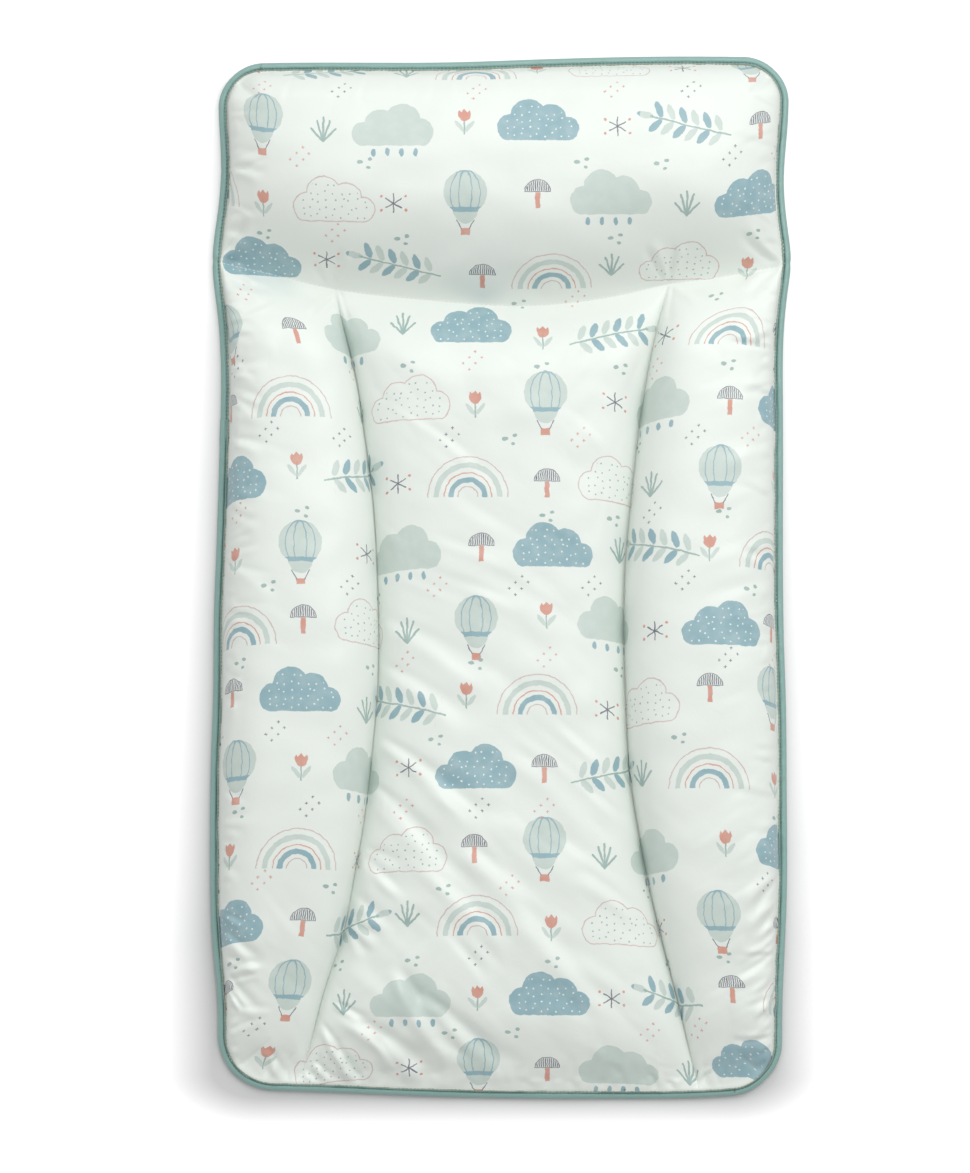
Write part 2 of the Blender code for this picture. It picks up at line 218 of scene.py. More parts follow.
def rise(distance, run):
    """Share of the full loft at a distance from a seam, 0 on the seam and 1 from the run onwards."""
    return 1 - (1 - np.clip(distance / run, 0, 1)) ** 2


def crown(share, power):
    """Share of the full loft across a pad, from 0 at one seam to 0 at the other."""
    return (1 - np.abs(2 * np.clip(share, 0, 1) - 1) ** power) ** CROWN_SHOULDER


def smooth_step(share):
    share = np.clip(share, 0, 1)
    return share * share * (3 - 2 * share)


def swell(x, y, size, seed):
    """Low, random swelling between about -1 and 1, with lumps of roughly this size in metres."""
    draw = np.random.default_rng(seed)
    total = np.zeros(np.shape(x))
    for _ in range(9):
        turn, phase = draw.uniform(0, 2 * math.pi, 2)
        pitch = size * draw.uniform(0.7, 1.6)
        along = x * math.cos(turn) + y * math.sin(turn)
        total += np.sin(2 * math.pi * along / pitch + phase)
    return total / 4


def swells(x, y, *layers):
    """Several layers of swelling: each one's height, size of lumps and seed."""
    return sum(height * swell(x, y, size, seed) for height, size, seed in layers)


def crowded(cells):
    """Shares from 0 to 1 in that many cells, closer together at both ends."""
    even = np.linspace(0, 1, cells + 1)
    return even - CROWDING * np.sin(2 * math.pi * even) / (2 * math.pi)


def plan_lines(*spans):
    """Grid lines over spans of so many cells: shares of the spans' ends with a shift, and first lines."""
    last = len(spans) - 1
    ends = np.eye(last + 2)
    lines, firsts = [(*ends[0], inset) for inset in EDGE_INSETS[:-1]], []
    for k, cells in enumerate(spans):
        firsts.append(len(lines))
        for t in crowded(cells)[:None if k == last else -1]:
            shift = EDGE_LAND * ((1 - t) * (k == 0) - t * (k == last))
            lines.append((*((1 - t) * ends[k] + t * ends[k + 1]), shift))
    lines += [(*ends[-1], -inset) for inset in EDGE_INSETS[-2::-1]]
    return np.array(lines), firsts


class MatPlan:
    """Plan of the mat as a grid whose lines follow the edges, both channels and the crease."""

    def __init__(self, bolster_cells, centre_cells, body_cells, head_cells):
        columns, (_, self.left_channel, self.right_channel) = plan_lines(
            bolster_cells, centre_cells, bolster_cells)
        rows, (_, self.crease) = plan_lines(body_cells, head_cells)
        self.middle_column = (self.left_channel + self.right_channel) // 2
        self.x = np.zeros((len(rows), len(columns)))
        self.y = np.zeros_like(self.x)
        for _ in range(14):
            lines = np.stack([left_edge(self.y), left_channel(self.y),
                              right_channel(self.y), right_edge(self.y)], axis=-1)
            self.x = (lines * columns[:, :-1]).sum(-1) + columns[:, -1]
            lines = np.stack([foot_edge(self.x), crease(self.x), head_edge(self.x)], axis=-1)
            self.y = (lines * rows[:, None, :-1]).sum(-1) + rows[:, None, -1]
        self.head = np.arange(len(rows))[:, None] >= self.crease
        self.real_x, self.real_y = rounded(self.x, self.y)

    def to_edge(self):
        """Distance from each point of the squared-off plan to the nearest outer edge."""
        return np.minimum(np.minimum(self.x - left_edge(self.y), right_edge(self.y) - self.x),
                          np.minimum(self.y - foot_edge(self.x), head_edge(self.x) - self.y))

    def to_seam(self):
        """Distance from each point to the nearest sewn channel or the crease."""
        to_crease = np.abs(self.y - crease(self.x))
        to_channel = np.minimum(np.abs(self.x - left_channel(self.y)),
                                np.abs(self.x - right_channel(self.y)))
        return np.where(self.head, to_crease, np.minimum(to_crease, to_channel))


def rounded(x, y):
    """Turns the plan's square corners into the real round ones, keeping distances to the edge."""
    real_x, real_y = x.copy(), y.copy()
    for side, end, radius in CORNERS:
        edge_x = right_edge(y) if side > 0 else left_edge(y)
        edge_y = head_edge(x) if end > 0 else foot_edge(x)
        beyond_x, beyond_y = radius - side * (edge_x - x), radius - end * (edge_y - y)
        reach = np.maximum(np.maximum(beyond_x, beyond_y), 1e-9)
        angle = math.pi / 4 * np.minimum(beyond_x, beyond_y) / reach
        long_run, short_run = reach * np.cos(angle), reach * np.sin(angle)
        run_x = np.where(beyond_x >= beyond_y, long_run, short_run)
        run_y = np.where(beyond_x >= beyond_y, short_run, long_run)
        inside = (beyond_x > 0) & (beyond_y > 0)
        real_x += np.where(inside, side * (run_x - beyond_x), 0)
        real_y += np.where(inside, end * (run_y - beyond_y), 0)
    return real_x, real_y


def loft(plan, lofts):
    """Depth of the space for wadding between the covers at each point of the plan."""
    x, y = plan.x, plan.y
    left, right = left_edge(y) + EDGE_LAND, right_edge(y) - EDGE_LAND
    to_crease = np.abs(y - crease(x)) - SEAM_LINE
    to_head, to_foot = head_edge(x) - EDGE_LAND - y, y - foot_edge(x) - EDGE_LAND
    head = (lofts.head_loft * crown((x - left) / (right - left), HEAD_CROWN) * rise(to_crease, HEAD_RUN)
            * sum(share * rise(to_head, run) for share, run in HEAD_EDGE_RUNS))
    ends = rise(to_foot, FOOT_RUN) * rise(to_crease, BODY_RUN)
    fuller = 1 - THINNER_AT_FOOT * (1 - smooth_step(to_foot / THINNER_OVER))
    body = np.zeros_like(x)
    for start, end, height, power in (
            (left, left_channel(y) - SEAM_LINE, lofts.bolster_loft, BOLSTER_CROWN),
            (left_channel(y) + SEAM_LINE, right_channel(y) - SEAM_LINE, lofts.centre_loft, CENTRE_CROWN),
            (right_channel(y) + SEAM_LINE, right, lofts.bolster_loft, BOLSTER_CROWN)):
        wider = (end - start) / BOLSTER_WIDTH if power == BOLSTER_CROWN else 1
        depth = height * (wider * fuller) * crown((x - start) / (end - start), power) * ends
        body += np.where((x > start) & (x < end), depth, 0)
    return np.where(plan.head, head, body)


def base_under(plan):
    """Height of the base cover's underside above the floor, at each point of the plan."""
    at_edge = EDGE_RISE * (1 - rise(plan.to_edge() - EDGE_LAND, EDGE_ROLL))
    at_seam = SEAM_RISE * (1 - rise(plan.to_seam() - SEAM_LAND, SEAM_ROLL))
    return np.maximum(at_edge, at_seam) - edge_drop(plan.to_edge(), plan.y)


def edge_drop(inset, y):
    """How far the edge hangs down outside the pads, more towards the foot."""
    hang = HANG + FOOT_HANG * smooth_step((HANG_FROM - np.asarray(y)) / HANG_OVER)
    return np.maximum(EDGE_LAND - inset, 0) * hang


def fold_height(x, y, fold):
    """Height that one fold adds: a ridge with a shallow valley on one side, faded at both ends."""
    start_x, start_y, end_x, end_y, width_start, width_end, height, bow = (part / 1000 for part in fold)
    length = math.hypot(end_x - start_x, end_y - start_y)
    way_x, way_y = (end_x - start_x) / length, (end_y - start_y) / length
    along = ((x - start_x) * way_x + (y - start_y) * way_y) / length
    within = np.clip(along, 0, 1)
    aside = (y - start_y) * way_x - (x - start_x) * way_y - 4 * bow * within * (1 - within)
    share = aside / (width_start + (width_end - width_start) * within)
    ends = smooth_step((along + 0.12) / 0.3) * smooth_step((1.15 - along) / 0.45)
    ridge = np.exp(-np.abs(share) ** RIDGE_POWER)
    valley = VALLEY_DEPTH * np.exp(-((share - VALLEY_PLACE) / VALLEY_WIDTH) ** 2)
    return height * ends * (ridge - valley)


def pucker_folds(seed):
    """Short folds that run from the binding into the cover, drawn once from a fixed seed."""
    draw = np.random.default_rng(seed)
    folds = []
    for side, low, high, spacing, height in PUCKERS:
        line, inward = EDGES[side]
        at = low
        while at < high:
            length = GATHER_LENGTH + GATHER_LONGER * draw.uniform(0, 1) ** 2
            lean = draw.uniform(-GATHER_LEAN, GATHER_LEAN)
            lean += RIGHT_FOOT_LEAN if side == "right" and at < RIGHT_FOOT else 0
            off = float(line(at / 1000)) * 1000 + inward * GATHER_INSET
            if side in ("left", "right"):
                start, end = (off, at), (off + inward * length, at - lean * length)
            else:
                start, end = (at, off), (at + lean * length, off + inward * length)
            narrow = draw.uniform(1.5, 2.8)
            folds.append((*start, *end, narrow, narrow * draw.uniform(1.3, 2.2),
                          height * draw.uniform(0.5, 1.2), draw.uniform(-2, 2)))
            at += spacing * draw.uniform(0.6, 1.5)
    return folds


def free_cloth(plan, run):
    """Share from 0 at the seams and the binding to 1 in the open cloth, over a run."""
    return smooth_step(np.minimum(plan.to_edge() - EDGE_LAND, plan.to_seam() - SEAM_LAND) / run)


def puckers_over(plan, shape):
    """Height that the gathers along the binding and soft lumps add to the crowned form."""
    x, y = plan.real_x, plan.real_y
    total = sum(fold_height(x, y, fold) for fold in pucker_folds(seed=11))
    lumps = swells(x, y, (0.0011, 0.085, 3), (0.0004, 0.035, 5))
    return shape.pucker_depth * total * free_cloth(plan, 0.010) ** 0.5 + lumps * free_cloth(plan, 0.03)


def patches(across, along, seed):
    """Smooth random heights between -1 and 1, one to each unit across and along."""
    lattice = np.random.default_rng(seed).uniform(-1, 1, (97, 89))
    row, column = np.floor(across).astype(int), np.floor(along).astype(int)
    share, far = smooth_step(across - row), smooth_step(along - column)

    def between_rows(column):
        return lattice[row % 97, column % 89] * (1 - share) + lattice[(row + 1) % 97, column % 89] * share

    return between_rows(column) * (1 - far) + between_rows(column + 1) * far


def folds_over(plan, shape):
    """Height that the cover's own folds and slack add."""
    x, y = plan.real_x, plan.real_y
    total = sum(fold_height(x, y, fold) for fold in FOLDS)
    for (at_x, at_y), (wide, tall), turn, size, depth in SLACK_WAVES:
        here = np.exp(-np.abs((x - at_x) / wide) ** 3 - np.abs((y - at_y) / tall) ** 3)
        way = math.radians(turn)
        across = (x * math.cos(way) + y * math.sin(way)) / size + 0.55 * swell(x, y, 0.11, 45)
        along = (y * math.cos(way) - x * math.sin(way)) / size / 3
        waves = patches(across - 0.42 * patches(across, along, 41), along, 41)
        waves = waves + 0.22 * patches(across * 2.1, along * 1.7, 43)
        total = total + here * depth * waves
    return shape.fold_depth * total * free_cloth(plan, 0.010) ** 0.5


def cloth_lengths(plan, height, share=1.0):
    """Places on the flat cloth, in metres, with this share of the length that the crowned form adds."""
    places = []
    for plane, axis, middle in ((plan.real_x, 1, plan.middle_column), (plan.real_y, 0, plan.crease)):
        flat = np.abs(np.diff(plane, axis=axis))
        extra = share * (np.hypot(flat, np.diff(height, axis=axis)) - flat)
        first = np.zeros_like(np.take(extra, [0], axis))
        extra = np.cumsum(np.concatenate([first, extra], axis), axis)
        places.append(plane + extra - np.take(extra, [middle], axis))
    return places


def grid_quads(rows, columns, start, turned):
    """Faces of a grid of vertices, numbered from start row by row."""
    corner = start + np.arange(rows - 1)[:, None] * columns + np.arange(columns - 1)[None, :]
    quads = np.stack([corner, corner + 1, corner + columns + 1, corner + columns], -1).reshape(-1, 4)
    return quads[:, ::-1] if turned else quads


def new_object(name, data):
    """Object of this data, in the scene."""
    thing = bpy.data.objects.new(name, data)
    bpy.context.scene.collection.objects.link(thing)
    return thing


def new_piece(name, points, faces, material=None):
    """Smooth-shaded mesh object from arrays of points and faces."""
    mesh = bpy.data.meshes.new(name)
    mesh.from_pydata(np.asarray(points).tolist(), [], [list(map(int, face)) for face in faces])
    mesh.shade_smooth()
    if material:
        mesh.materials.append(material)
    return new_object(name, mesh)


def closed_form(name, upper, lower, material):
    """Closed form between two grids of points, with a rim that joins them."""
    rows, columns = upper.shape[:2]
    count = rows * columns
    index = np.arange(count).reshape(rows, columns)
    rim = np.concatenate([index[0, :-1], index[:-1, -1], index[-1, :0:-1], index[:0:-1, 0]])
    following = np.roll(rim, -1)
    sides = np.stack([rim + count, following + count, following, rim], -1)
    faces = np.concatenate([grid_quads(rows, columns, 0, False),
                            grid_quads(rows, columns, count, True), sides])
    points = np.concatenate([upper.reshape(-1, 3), lower.reshape(-1, 3)])
    return new_piece(name, points, faces, material)


def surface_normals(points):
    """Normals of a grid of points."""
    across, along = np.gradient(points, axis=1), np.gradient(points, axis=0)
    normal = np.cross(across, along)
    return normal / np.linalg.norm(normal, axis=-1, keepdims=True)


def set_cloth_map(piece, name, u, v):
    """UV map with each vertex's place on the flat cloth, in metres."""
    layer = piece.data.uv_layers.new(name=name)
    corner = np.zeros(len(piece.data.loops), np.int64)
    piece.data.loops.foreach_get("vertex_index", corner)
    places = np.stack([u, v], -1)[corner]
    layer.data.foreach_set("uv", places.astype(np.float32).ravel())


def mesh_points(mesh):
    """A mesh's points, one to a row."""
    found = np.zeros(len(mesh.vertices) * 3, np.float32)
    mesh.vertices.foreach_get("co", found)
    return found.reshape(-1, 3).astype(float)


def set_cover_map(piece, u, v):
    """The same places on the flat cloth for a cover's upper and lower points."""
    set_cloth_map(piece, "cloth", np.tile(u.ravel(), 2), np.tile(v.ravel(), 2))


def halved(grid):
    return grid[::2, ::2]


def doubled(grid):
    """Puts a smooth value between neighbours of a grid, along both of its ways."""
    for axis in (0, 1):
        grid = np.moveaxis(grid, axis, 0)
        before = np.concatenate([grid[:1], grid[:-2]])
        after = np.concatenate([grid[2:], grid[-1:]])
        between = (9 * (grid[:-1] + grid[1:]) - before - after) / 16
        full = np.empty((2 * len(grid) - 1,) + grid.shape[1:])
        full[::2], full[1::2] = grid, between
        grid = np.moveaxis(full, 0, axis)
    return grid


# Share of the crowned form's extra length that the print takes
PRINT_STRETCH = 0.65

# The print's soft edges, its bricks and the distance between its plus signs, in millimetres
PRINT_SOFTNESS, BRICK, PLUS_PITCH = 0.3, (100.0, 53.0), 4.4

# Thicknesses and gaps of cloth, wadding and threads, in metres
TOP_CLOTH, LEAST_WADDING, WADDING_CLEARANCE = 0.0005, 0.0008, 0.0004
TAPE_THREAD, STITCH_LEAN, NEEDLE_HEIGHT, BOBBIN_HEIGHT = 0.00030, 0.00022, 0.00722, 0.00418
SEAM_THREAD, SEAM_PITCH, SEAM_GAP = 0.00022, 0.0032, 0.0007

# How much of the space under the cover the wadding fills, and its lumps
WADDING_FULL, WADDING_LUMPS = 0.93, 0.02

# A colour mix node's sockets
MIX_BELOW, MIX_ABOVE, MIX_RESULT = 6, 7, 2


def arithmetic(operation):
    """Method that puts in a Math node of this operation."""
    return lambda value, *others: value.ink.math(operation, value, *others)


class Value:
    """A number or place that varies over a surface. Arithmetic on it puts in Math nodes."""
    __add__, __sub__, __mul__ = map(arithmetic, ("ADD", "SUBTRACT", "MULTIPLY"))
    __truediv__, __mod__ = map(arithmetic, ("DIVIDE", "FLOORED_MODULO"))
    __gt__, __abs__ = map(arithmetic, ("GREATER_THAN", "ABSOLUTE"))

    def __init__(self, ink, socket):
        self.ink, self.socket = ink, socket

    def __rsub__(self, other):
        return self.ink.math("SUBTRACT", other, self)


class Ink:
    """Draws flat shapes with Math nodes. Places and sizes are in millimetres of cloth."""

    def __init__(self, tree, shader="Principled BSDF"):
        self.nodes, self.links = tree.nodes, tree.links
        self.shader = tree.nodes[shader]

    def feed(self, node, values):
        """Links or sets a node's sockets."""
        for socket, value in values.items():
            if isinstance(value, Value):
                self.links.new(value.socket, node.inputs[socket])
            else:
                node.inputs[socket].default_value = value

    def shade(self, values):
        self.feed(self.shader, values)

    def put(self, kind, settings, values, output=0):
        node = self.nodes.new(kind)
        for name, value in settings.items():
            setattr(node, name, value)
        self.feed(node, values)
        return Value(self, node.outputs[output])

    def math(self, operation, *values, clamp=False):
        return self.put("ShaderNodeMath", {"operation": operation, "use_clamp": clamp},
                        dict(enumerate(values)))

    def vector(self, operation, *values):
        output = 1 if operation in ("LENGTH", "DISTANCE", "DOT_PRODUCT") else 0
        return self.put("ShaderNodeVectorMath", {"operation": operation}, dict(enumerate(values)), output)

    def scaled(self, at, factor):
        return self.put("ShaderNodeVectorMath", {"operation": "SCALE"}, {0: at, 3: factor})

    def parts(self, at):
        x = self.put("ShaderNodeSeparateXYZ", {}, {0: at})
        return x, Value(self, x.socket.node.outputs[1])

    def joined(self, x, y):
        return self.put("ShaderNodeCombineXYZ", {}, {0: x, 1: y})

    def flat_map(self, name):
        return self.put("ShaderNodeUVMap", {"uv_map": name}, {})

    def object_place(self):
        return self.put("ShaderNodeTexCoord", {}, {}, "Object")

    def noise(self, at, scale, detail, output=0, **more):
        return self.put("ShaderNodeTexNoise", {}, {"Vector": at, "Scale": scale, "Detail": detail, **more},
                        output)

    def weave(self, at, scale):
        """Two crossed sets of threads."""
        warp, weft = (self.put("ShaderNodeTexWave", {"bands_direction": way},
                               {"Vector": at, "Scale": scale}, 1) for way in "XY")
        return warp * weft

    def bump(self, height, strength, distance, **below):
        return self.put("ShaderNodeBump", {}, {"Height": height, "Strength": strength, "Distance": distance,
                                               **below})

    def laid(self, at, x, y, wide, tall, turn):
        """The place in a shape's own frame."""
        return self.put("ShaderNodeMapping", {"vector_type": "TEXTURE"},
                        {"Vector": at, "Location": (x, y, 0), "Rotation": (0, 0, math.radians(turn)),
                         "Scale": (wide, tall, 1)})

    def disc(self, at, x, y, radius):
        return radius - self.vector("DISTANCE", at, (x, y, 0))

    def oval(self, at, x, y, wide, tall, turn=0.0):
        return (1.0 - self.vector("LENGTH", self.laid(at, x, y, wide, tall, turn))) * min(wide, tall)

    def bar(self, at, start, end, radius):
        run = (end[0] - start[0], end[1] - start[1], 0)
        from_start = self.vector("SUBTRACT", at, (*start, 0))
        share = self.math("DIVIDE", self.vector("DOT_PRODUCT", from_start, run),
                          run[0] ** 2 + run[1] ** 2, clamp=True)
        return radius - self.vector("DISTANCE", from_start, self.scaled(run, share))

    def either(self, *depths):
        return reduce(lambda one, other: self.math("MAXIMUM", one, other), depths)

    def both(self, *depths):
        return reduce(lambda one, other: self.math("MINIMUM", one, other), depths)

    def fill(self, depth):
        return self.math("MULTIPLY_ADD", depth, 1 / PRINT_SOFTNESS, 0.5, clamp=True)

    def line(self, depth, half_width):
        return self.fill(half_width - abs(depth))

    def kinds(self, number, count):
        """One mask for each kind of motif, from the kind's number."""
        return [self.math("COMPARE", number, float(kind), 0.5) for kind in range(count)]

    def paint(self, below, mask, colour):
        """Lays a colour over another one."""
        below, colour = (c if isinstance(c, Value) else (*c, 1) for c in (below, colour))
        return self.put("ShaderNodeMix", {"data_type": "RGBA"},
                        {0: mask, MIX_BELOW: below, MIX_ABOVE: colour}, MIX_RESULT)

    def cells(self, at, wide, tall, shift, jitter):
        """Splits the cloth into cells like bricks. Gives place in the cell, column, row and chance."""
        x, y = self.parts(self.vector("ADD", at, (*shift, 0)))
        row = self.math("FLOOR", y / tall)
        x = x + row % 2.0 * (wide / 2)
        column = self.math("FLOOR", x / wide)
        chance = self.put("ShaderNodeTexWhiteNoise", {"noise_dimensions": "2D"},
                          {"Vector": self.joined(column, row)}, 1)
        local = self.joined(x - (column + 0.5) * wide, y - (row + 0.5) * tall)
        off = self.vector("MULTIPLY", self.vector("SUBTRACT", chance, (0.5, 0.5, 0.5)), (*jitter, 0))
        return self.vector("SUBTRACT", local, off), column, row, chance


def principled(name, colour, roughness):
    """Material, and the Ink that draws in it."""
    material = bpy.data.materials.new(name)
    material.use_nodes = True
    ink = Ink(material.node_tree)
    ink.shade({"Base Color": (*colour, 1), "Roughness": roughness})
    return material, ink


def linear(red, green, blue):
    """Linear colour from sRGB numbers up to 255."""
    parts = [part / 255 for part in (red, green, blue)]
    return tuple(p / 12.92 if p <= 0.04045 else ((p + 0.055) / 1.055) ** 2.4 for p in parts)


def toned(colour, red, green, blue):
    """A colour with each part times its own share."""
    return colour[0] * red, colour[1] * green, colour[2] * blue


def print_colours(ink, cloth_place, look):
    """The cover's print: clouds, sprigs, rainbows and balloons, with small plants and specks between."""
    teal, sage, deep_sage, blush, coral, slate, white = map(tuple, (
        look.teal_ink, look.sage_ink, look.deep_sage_ink, look.blush_ink, look.coral_ink, look.slate_ink,
        look.cloth_colour))
    fill, line, bar, oval, joined = ink.fill, ink.line, ink.bar, ink.oval, ink.joined
    at = ink.scaled(cloth_place, 1000.0)
    hand = ink.noise(at, 0.22, 2.0, output=1)
    at = ink.vector("ADD", at, ink.scaled(ink.vector("SUBTRACT", hand, (0.5, 0.5, 0.5)), 2.0))
    worn = ink.math("MULTIPLY_ADD", ink.noise(at, 0.11, 4.0), 0.5, 0.70, clamp=True)
    layers = []

    def lay(colour, mask):
        layers.append((colour, mask))

    # Large motifs, one to a brick
    place, column, row, _ = ink.cells(at, *BRICK, (18, 12), (13, 8))
    is_cloud, is_sprig, is_rainbow, is_outline, is_balloon, is_shower = ink.kinds(
        (row * 2.0 + column) % 6.0, 6)
    x, y = ink.parts(place)
    mirrored = (column + row) % 2.0 * -2.0 + 1.0
    place = ink.scaled(joined(x * mirrored, y), 1 / 1.1)
    x, y = ink.parts(place)
    puffs = (ink.disc(place, *puff) for puff in ((-16, -3, 9), (-5, 5, 11.5), (9, 2, 10.5), (20, -4, 7.5)))
    cloud = ink.either(*puffs, bar(place, (-18, -6.5), (21, -6.5), 5.6))
    specks = ink.put("ShaderNodeTexVoronoi", {"voronoi_dimensions": "2D"},
                     {"Vector": place, "Scale": 0.2, "Randomness": 0.55})
    speckled = fill(specks * -5.0 + 0.55) * fill(cloud - 1.6)
    lay(teal, fill(cloud) * is_cloud)
    lay(white, speckled * is_cloud)
    lay(blush, line(cloud, 0.34) * is_outline)
    lay(deep_sage, speckled * is_outline)
    drop = oval(joined((x + 27.0) % 9.0 - 4.5, y + 16.4), 0, 0, 1.5, 2.6)
    lay(sage, fill(cloud) * is_shower)
    lay(teal, fill(ink.both(drop, 19.0 - abs(x))) * is_shower)

    sprig = ink.laid(place, 0, 0, 1, 1, 14)
    sprig_x, sprig_y = ink.parts(sprig)
    station = (sprig_x + 24.0) / 8.0
    leaf_place = joined(ink.math("FRACT", station) * 8.0 - 4.0, abs(sprig_y))
    leaf = ink.both(oval(leaf_place, 0.6, 5.6, 5.6, 2.3, 58), 24.0 - abs(sprig_x))
    leaf = fill(ink.either(leaf, oval(sprig, 28.5, 0, 5.5, 2.3))) * is_sprig
    lay(sage, leaf)
    lay(teal, leaf * (ink.math("FLOOR", station) % 2.0))
    lay(deep_sage, fill(bar(sprig, (-29, -1), (25, 0), 0.55)) * is_sprig)

    above = fill(y + 12.0) * is_rainbow
    from_centre = ink.vector("DISTANCE", place, (0, -12, 0))
    for radius, half_width, colour in ((26, 0.34, blush), (20.5, 1.7, sage), (15.5, 0.34, coral),
                                       (11, 1.7, teal), (6.5, 0.34, blush)):
        lay(colour, line(from_centre - radius, half_width) * above)

    globe = fill(ink.either(ink.disc(place, 0, 6, 14), oval(place, 0, -2, 8.5, 12))) * is_balloon
    lay(sage, globe)
    for wide in (4.2, 9.6):
        lay(teal, line(oval(place, 0, 5, wide, 15), 0.30) * fill(y + 5.0) * globe)
    lay(teal, fill(1.5 - abs(y + 5.0)) * globe)
    lay(coral, fill(ink.both(3.0 - abs(x), 2.3 - abs(y + 19.5))) * is_balloon)
    lay(slate, fill(bar(joined(abs(x), y), (5.5, -12), (2.6, -17.5), 0.3)) * is_balloon)

    # Small plants, in the gaps between the large motifs of a row
    place, column, row, _ = ink.cells(at, *BRICK, (68, 12), (14, 14))
    is_toadstool, is_sprout, is_tulip, is_star = ink.kinds((row * 3.0 + column) % 4.0, 4)
    x, y = ink.parts(place)
    side = abs(x)
    half = joined(side, y)
    cap = ink.both(oval(place, 0, 1, 9, 8.5), y - 1.0)
    hatch = abs(ink.math("FRACT", side / 1.5) - 0.5) - 0.24
    lay(slate, fill(cap - 0.5) * fill(hatch * 1.5) * is_toadstool)
    lay(slate, line(cap, 0.28) * is_toadstool)
    lay(coral, fill(ink.both(1.7 - side, 5.5 - abs(y + 5.0))) * is_toadstool)

    blades = (bar(half, (0, -9), tip, 0.75) for tip in ((8.5, 0), (4.6, 6), (0, 8.5)))
    lay(deep_sage, fill(ink.either(*blades)) * is_sprout)

    cup = ink.both(oval(place, 0, 5, 4.4, 5.6), ink.math("PINGPONG", side, 2.2) * -1.2 + 9.0 - y)
    lay(deep_sage, fill(bar(place, (0, -10), (0, 2), 0.5)) * is_tulip)
    lay(sage, fill(oval(half, 3.6, -4.2, 5, 1.5, 52)) * is_tulip)
    lay(coral, fill(cup) * is_tulip)

    rays = (bar(half, start, end, 0.42)
            for start, end in (((0, 0), (5.6, 3.2)), ((0, 0), (5.6, -3.2)), ((0, -6.5), (0, 6.5))))
    lay(slate, fill(ink.either(*rays)) * is_star)
    lay(coral, fill(ink.either(ink.disc(half, 8.6, 4.9, 1.0), ink.disc(half, 8.6, -4.9, 1.0))) * is_star)

    # Specks between the rows: plus signs in some cells and pebbles in others
    place, _, _, chance = ink.cells(at, BRICK[0] / 2, BRICK[1], (18, 38.5), (18, 6))
    pick, pick_more = ink.parts(chance)
    present, is_plus, is_grey = pick > 0.35, pick_more > 0.45, pick > 0.62
    grid = ink.parts(ink.scaled(place, 1 / PLUS_PITCH))
    column, row = (ink.math("FLOOR", part) for part in grid)
    tick_x, tick_y = (abs(ink.math("FRACT", part) - 0.5) * PLUS_PITCH for part in grid)
    plus = ink.either(ink.both(1.0 - tick_x, 0.26 - tick_y), ink.both(0.26 - tick_x, 1.0 - tick_y))
    plus = fill(plus) * fill(ink.disc(place, 0, 0, 8.5)) * ((column + row) % 2.0) * present * is_plus
    lay(slate, plus * is_grey)
    lay(coral, plus * (1.0 - is_grey))
    pebbles = (oval(place, *pebble)
               for pebble in ((-4, 0, 2.1, 1.4), (3, 2.2, 1.6, 1.2), (2, -3.6, 1.4, 1.1)))
    lay(deep_sage, fill(ink.either(*pebbles)) * present * (1.0 - is_plus))

    colour = white
    for layer_colour, mask in layers:
        colour = ink.paint(colour, mask * worn, layer_colour)
    return colour


def finish_cloth(ink, place, coat, crease):
    """Weave and coating: bump from two crossed sets of threads and from fine creases, and an uneven gloss."""
    fine = ink.bump(ink.weave(place, 450.0), 0.12, 0.0002)
    creases = ink.noise(place, 62.0, 3.0, Roughness=0.55, Distortion=0.6)
    ink.shade({"Normal": ink.bump(creases, crease, 0.0011, Normal=fine),
               "Roughness": ink.noise(place, 26.0, 3.0) * 0.16 + 0.36, "Specular IOR Level": 0.5,
               "Coat Weight": coat, "Coat Roughness": 0.32, "Sheen Weight": 0.08})


def printed_cloth(look):
    """Coated cotton-and-polyester with its print, a fine weave and small creases in the coating."""
    material, ink = principled("printed_coated_cloth", look.cloth_colour, 0.42)
    place = ink.flat_map("cloth")
    ink.shade({"Base Color": print_colours(ink, place, look)})
    finish_cloth(ink, place, coat=0.2, crease=0.22)
    return material


def plain_cloth(look):
    """The same coated cloth without its print, for the base."""
    colour = tuple(look.cloth_colour)
    material, ink = principled("plain_coated_cloth", colour, 0.45)
    place = ink.flat_map("cloth")
    ink.shade({"Base Color": ink.paint(colour, ink.noise(place, 9.0, 4.0), toned(colour, 0.94, 0.94, 0.94))})
    finish_cloth(ink, place, coat=0.15, crease=0.35)
    return material


def fibre(look):
    """Crimped polyester fibre: white, matte and tangled."""
    colour = tuple(look.fibre_colour)
    material, ink = principled("polyester_fibre", colour, 0.95)
    place = ink.object_place()
    tangle = ink.noise(place, 260.0, 6.0, Roughness=0.7, Distortion=2.5)
    clumps = ink.noise(place, 30.0, 4.0)
    ink.shade({"Base Color": ink.paint(colour, clumps, toned(colour, 0.82, 0.82, 0.82)),
               "Normal": ink.bump(tangle, 0.8, 0.001), "Sheen Weight": 0.3})
    return material


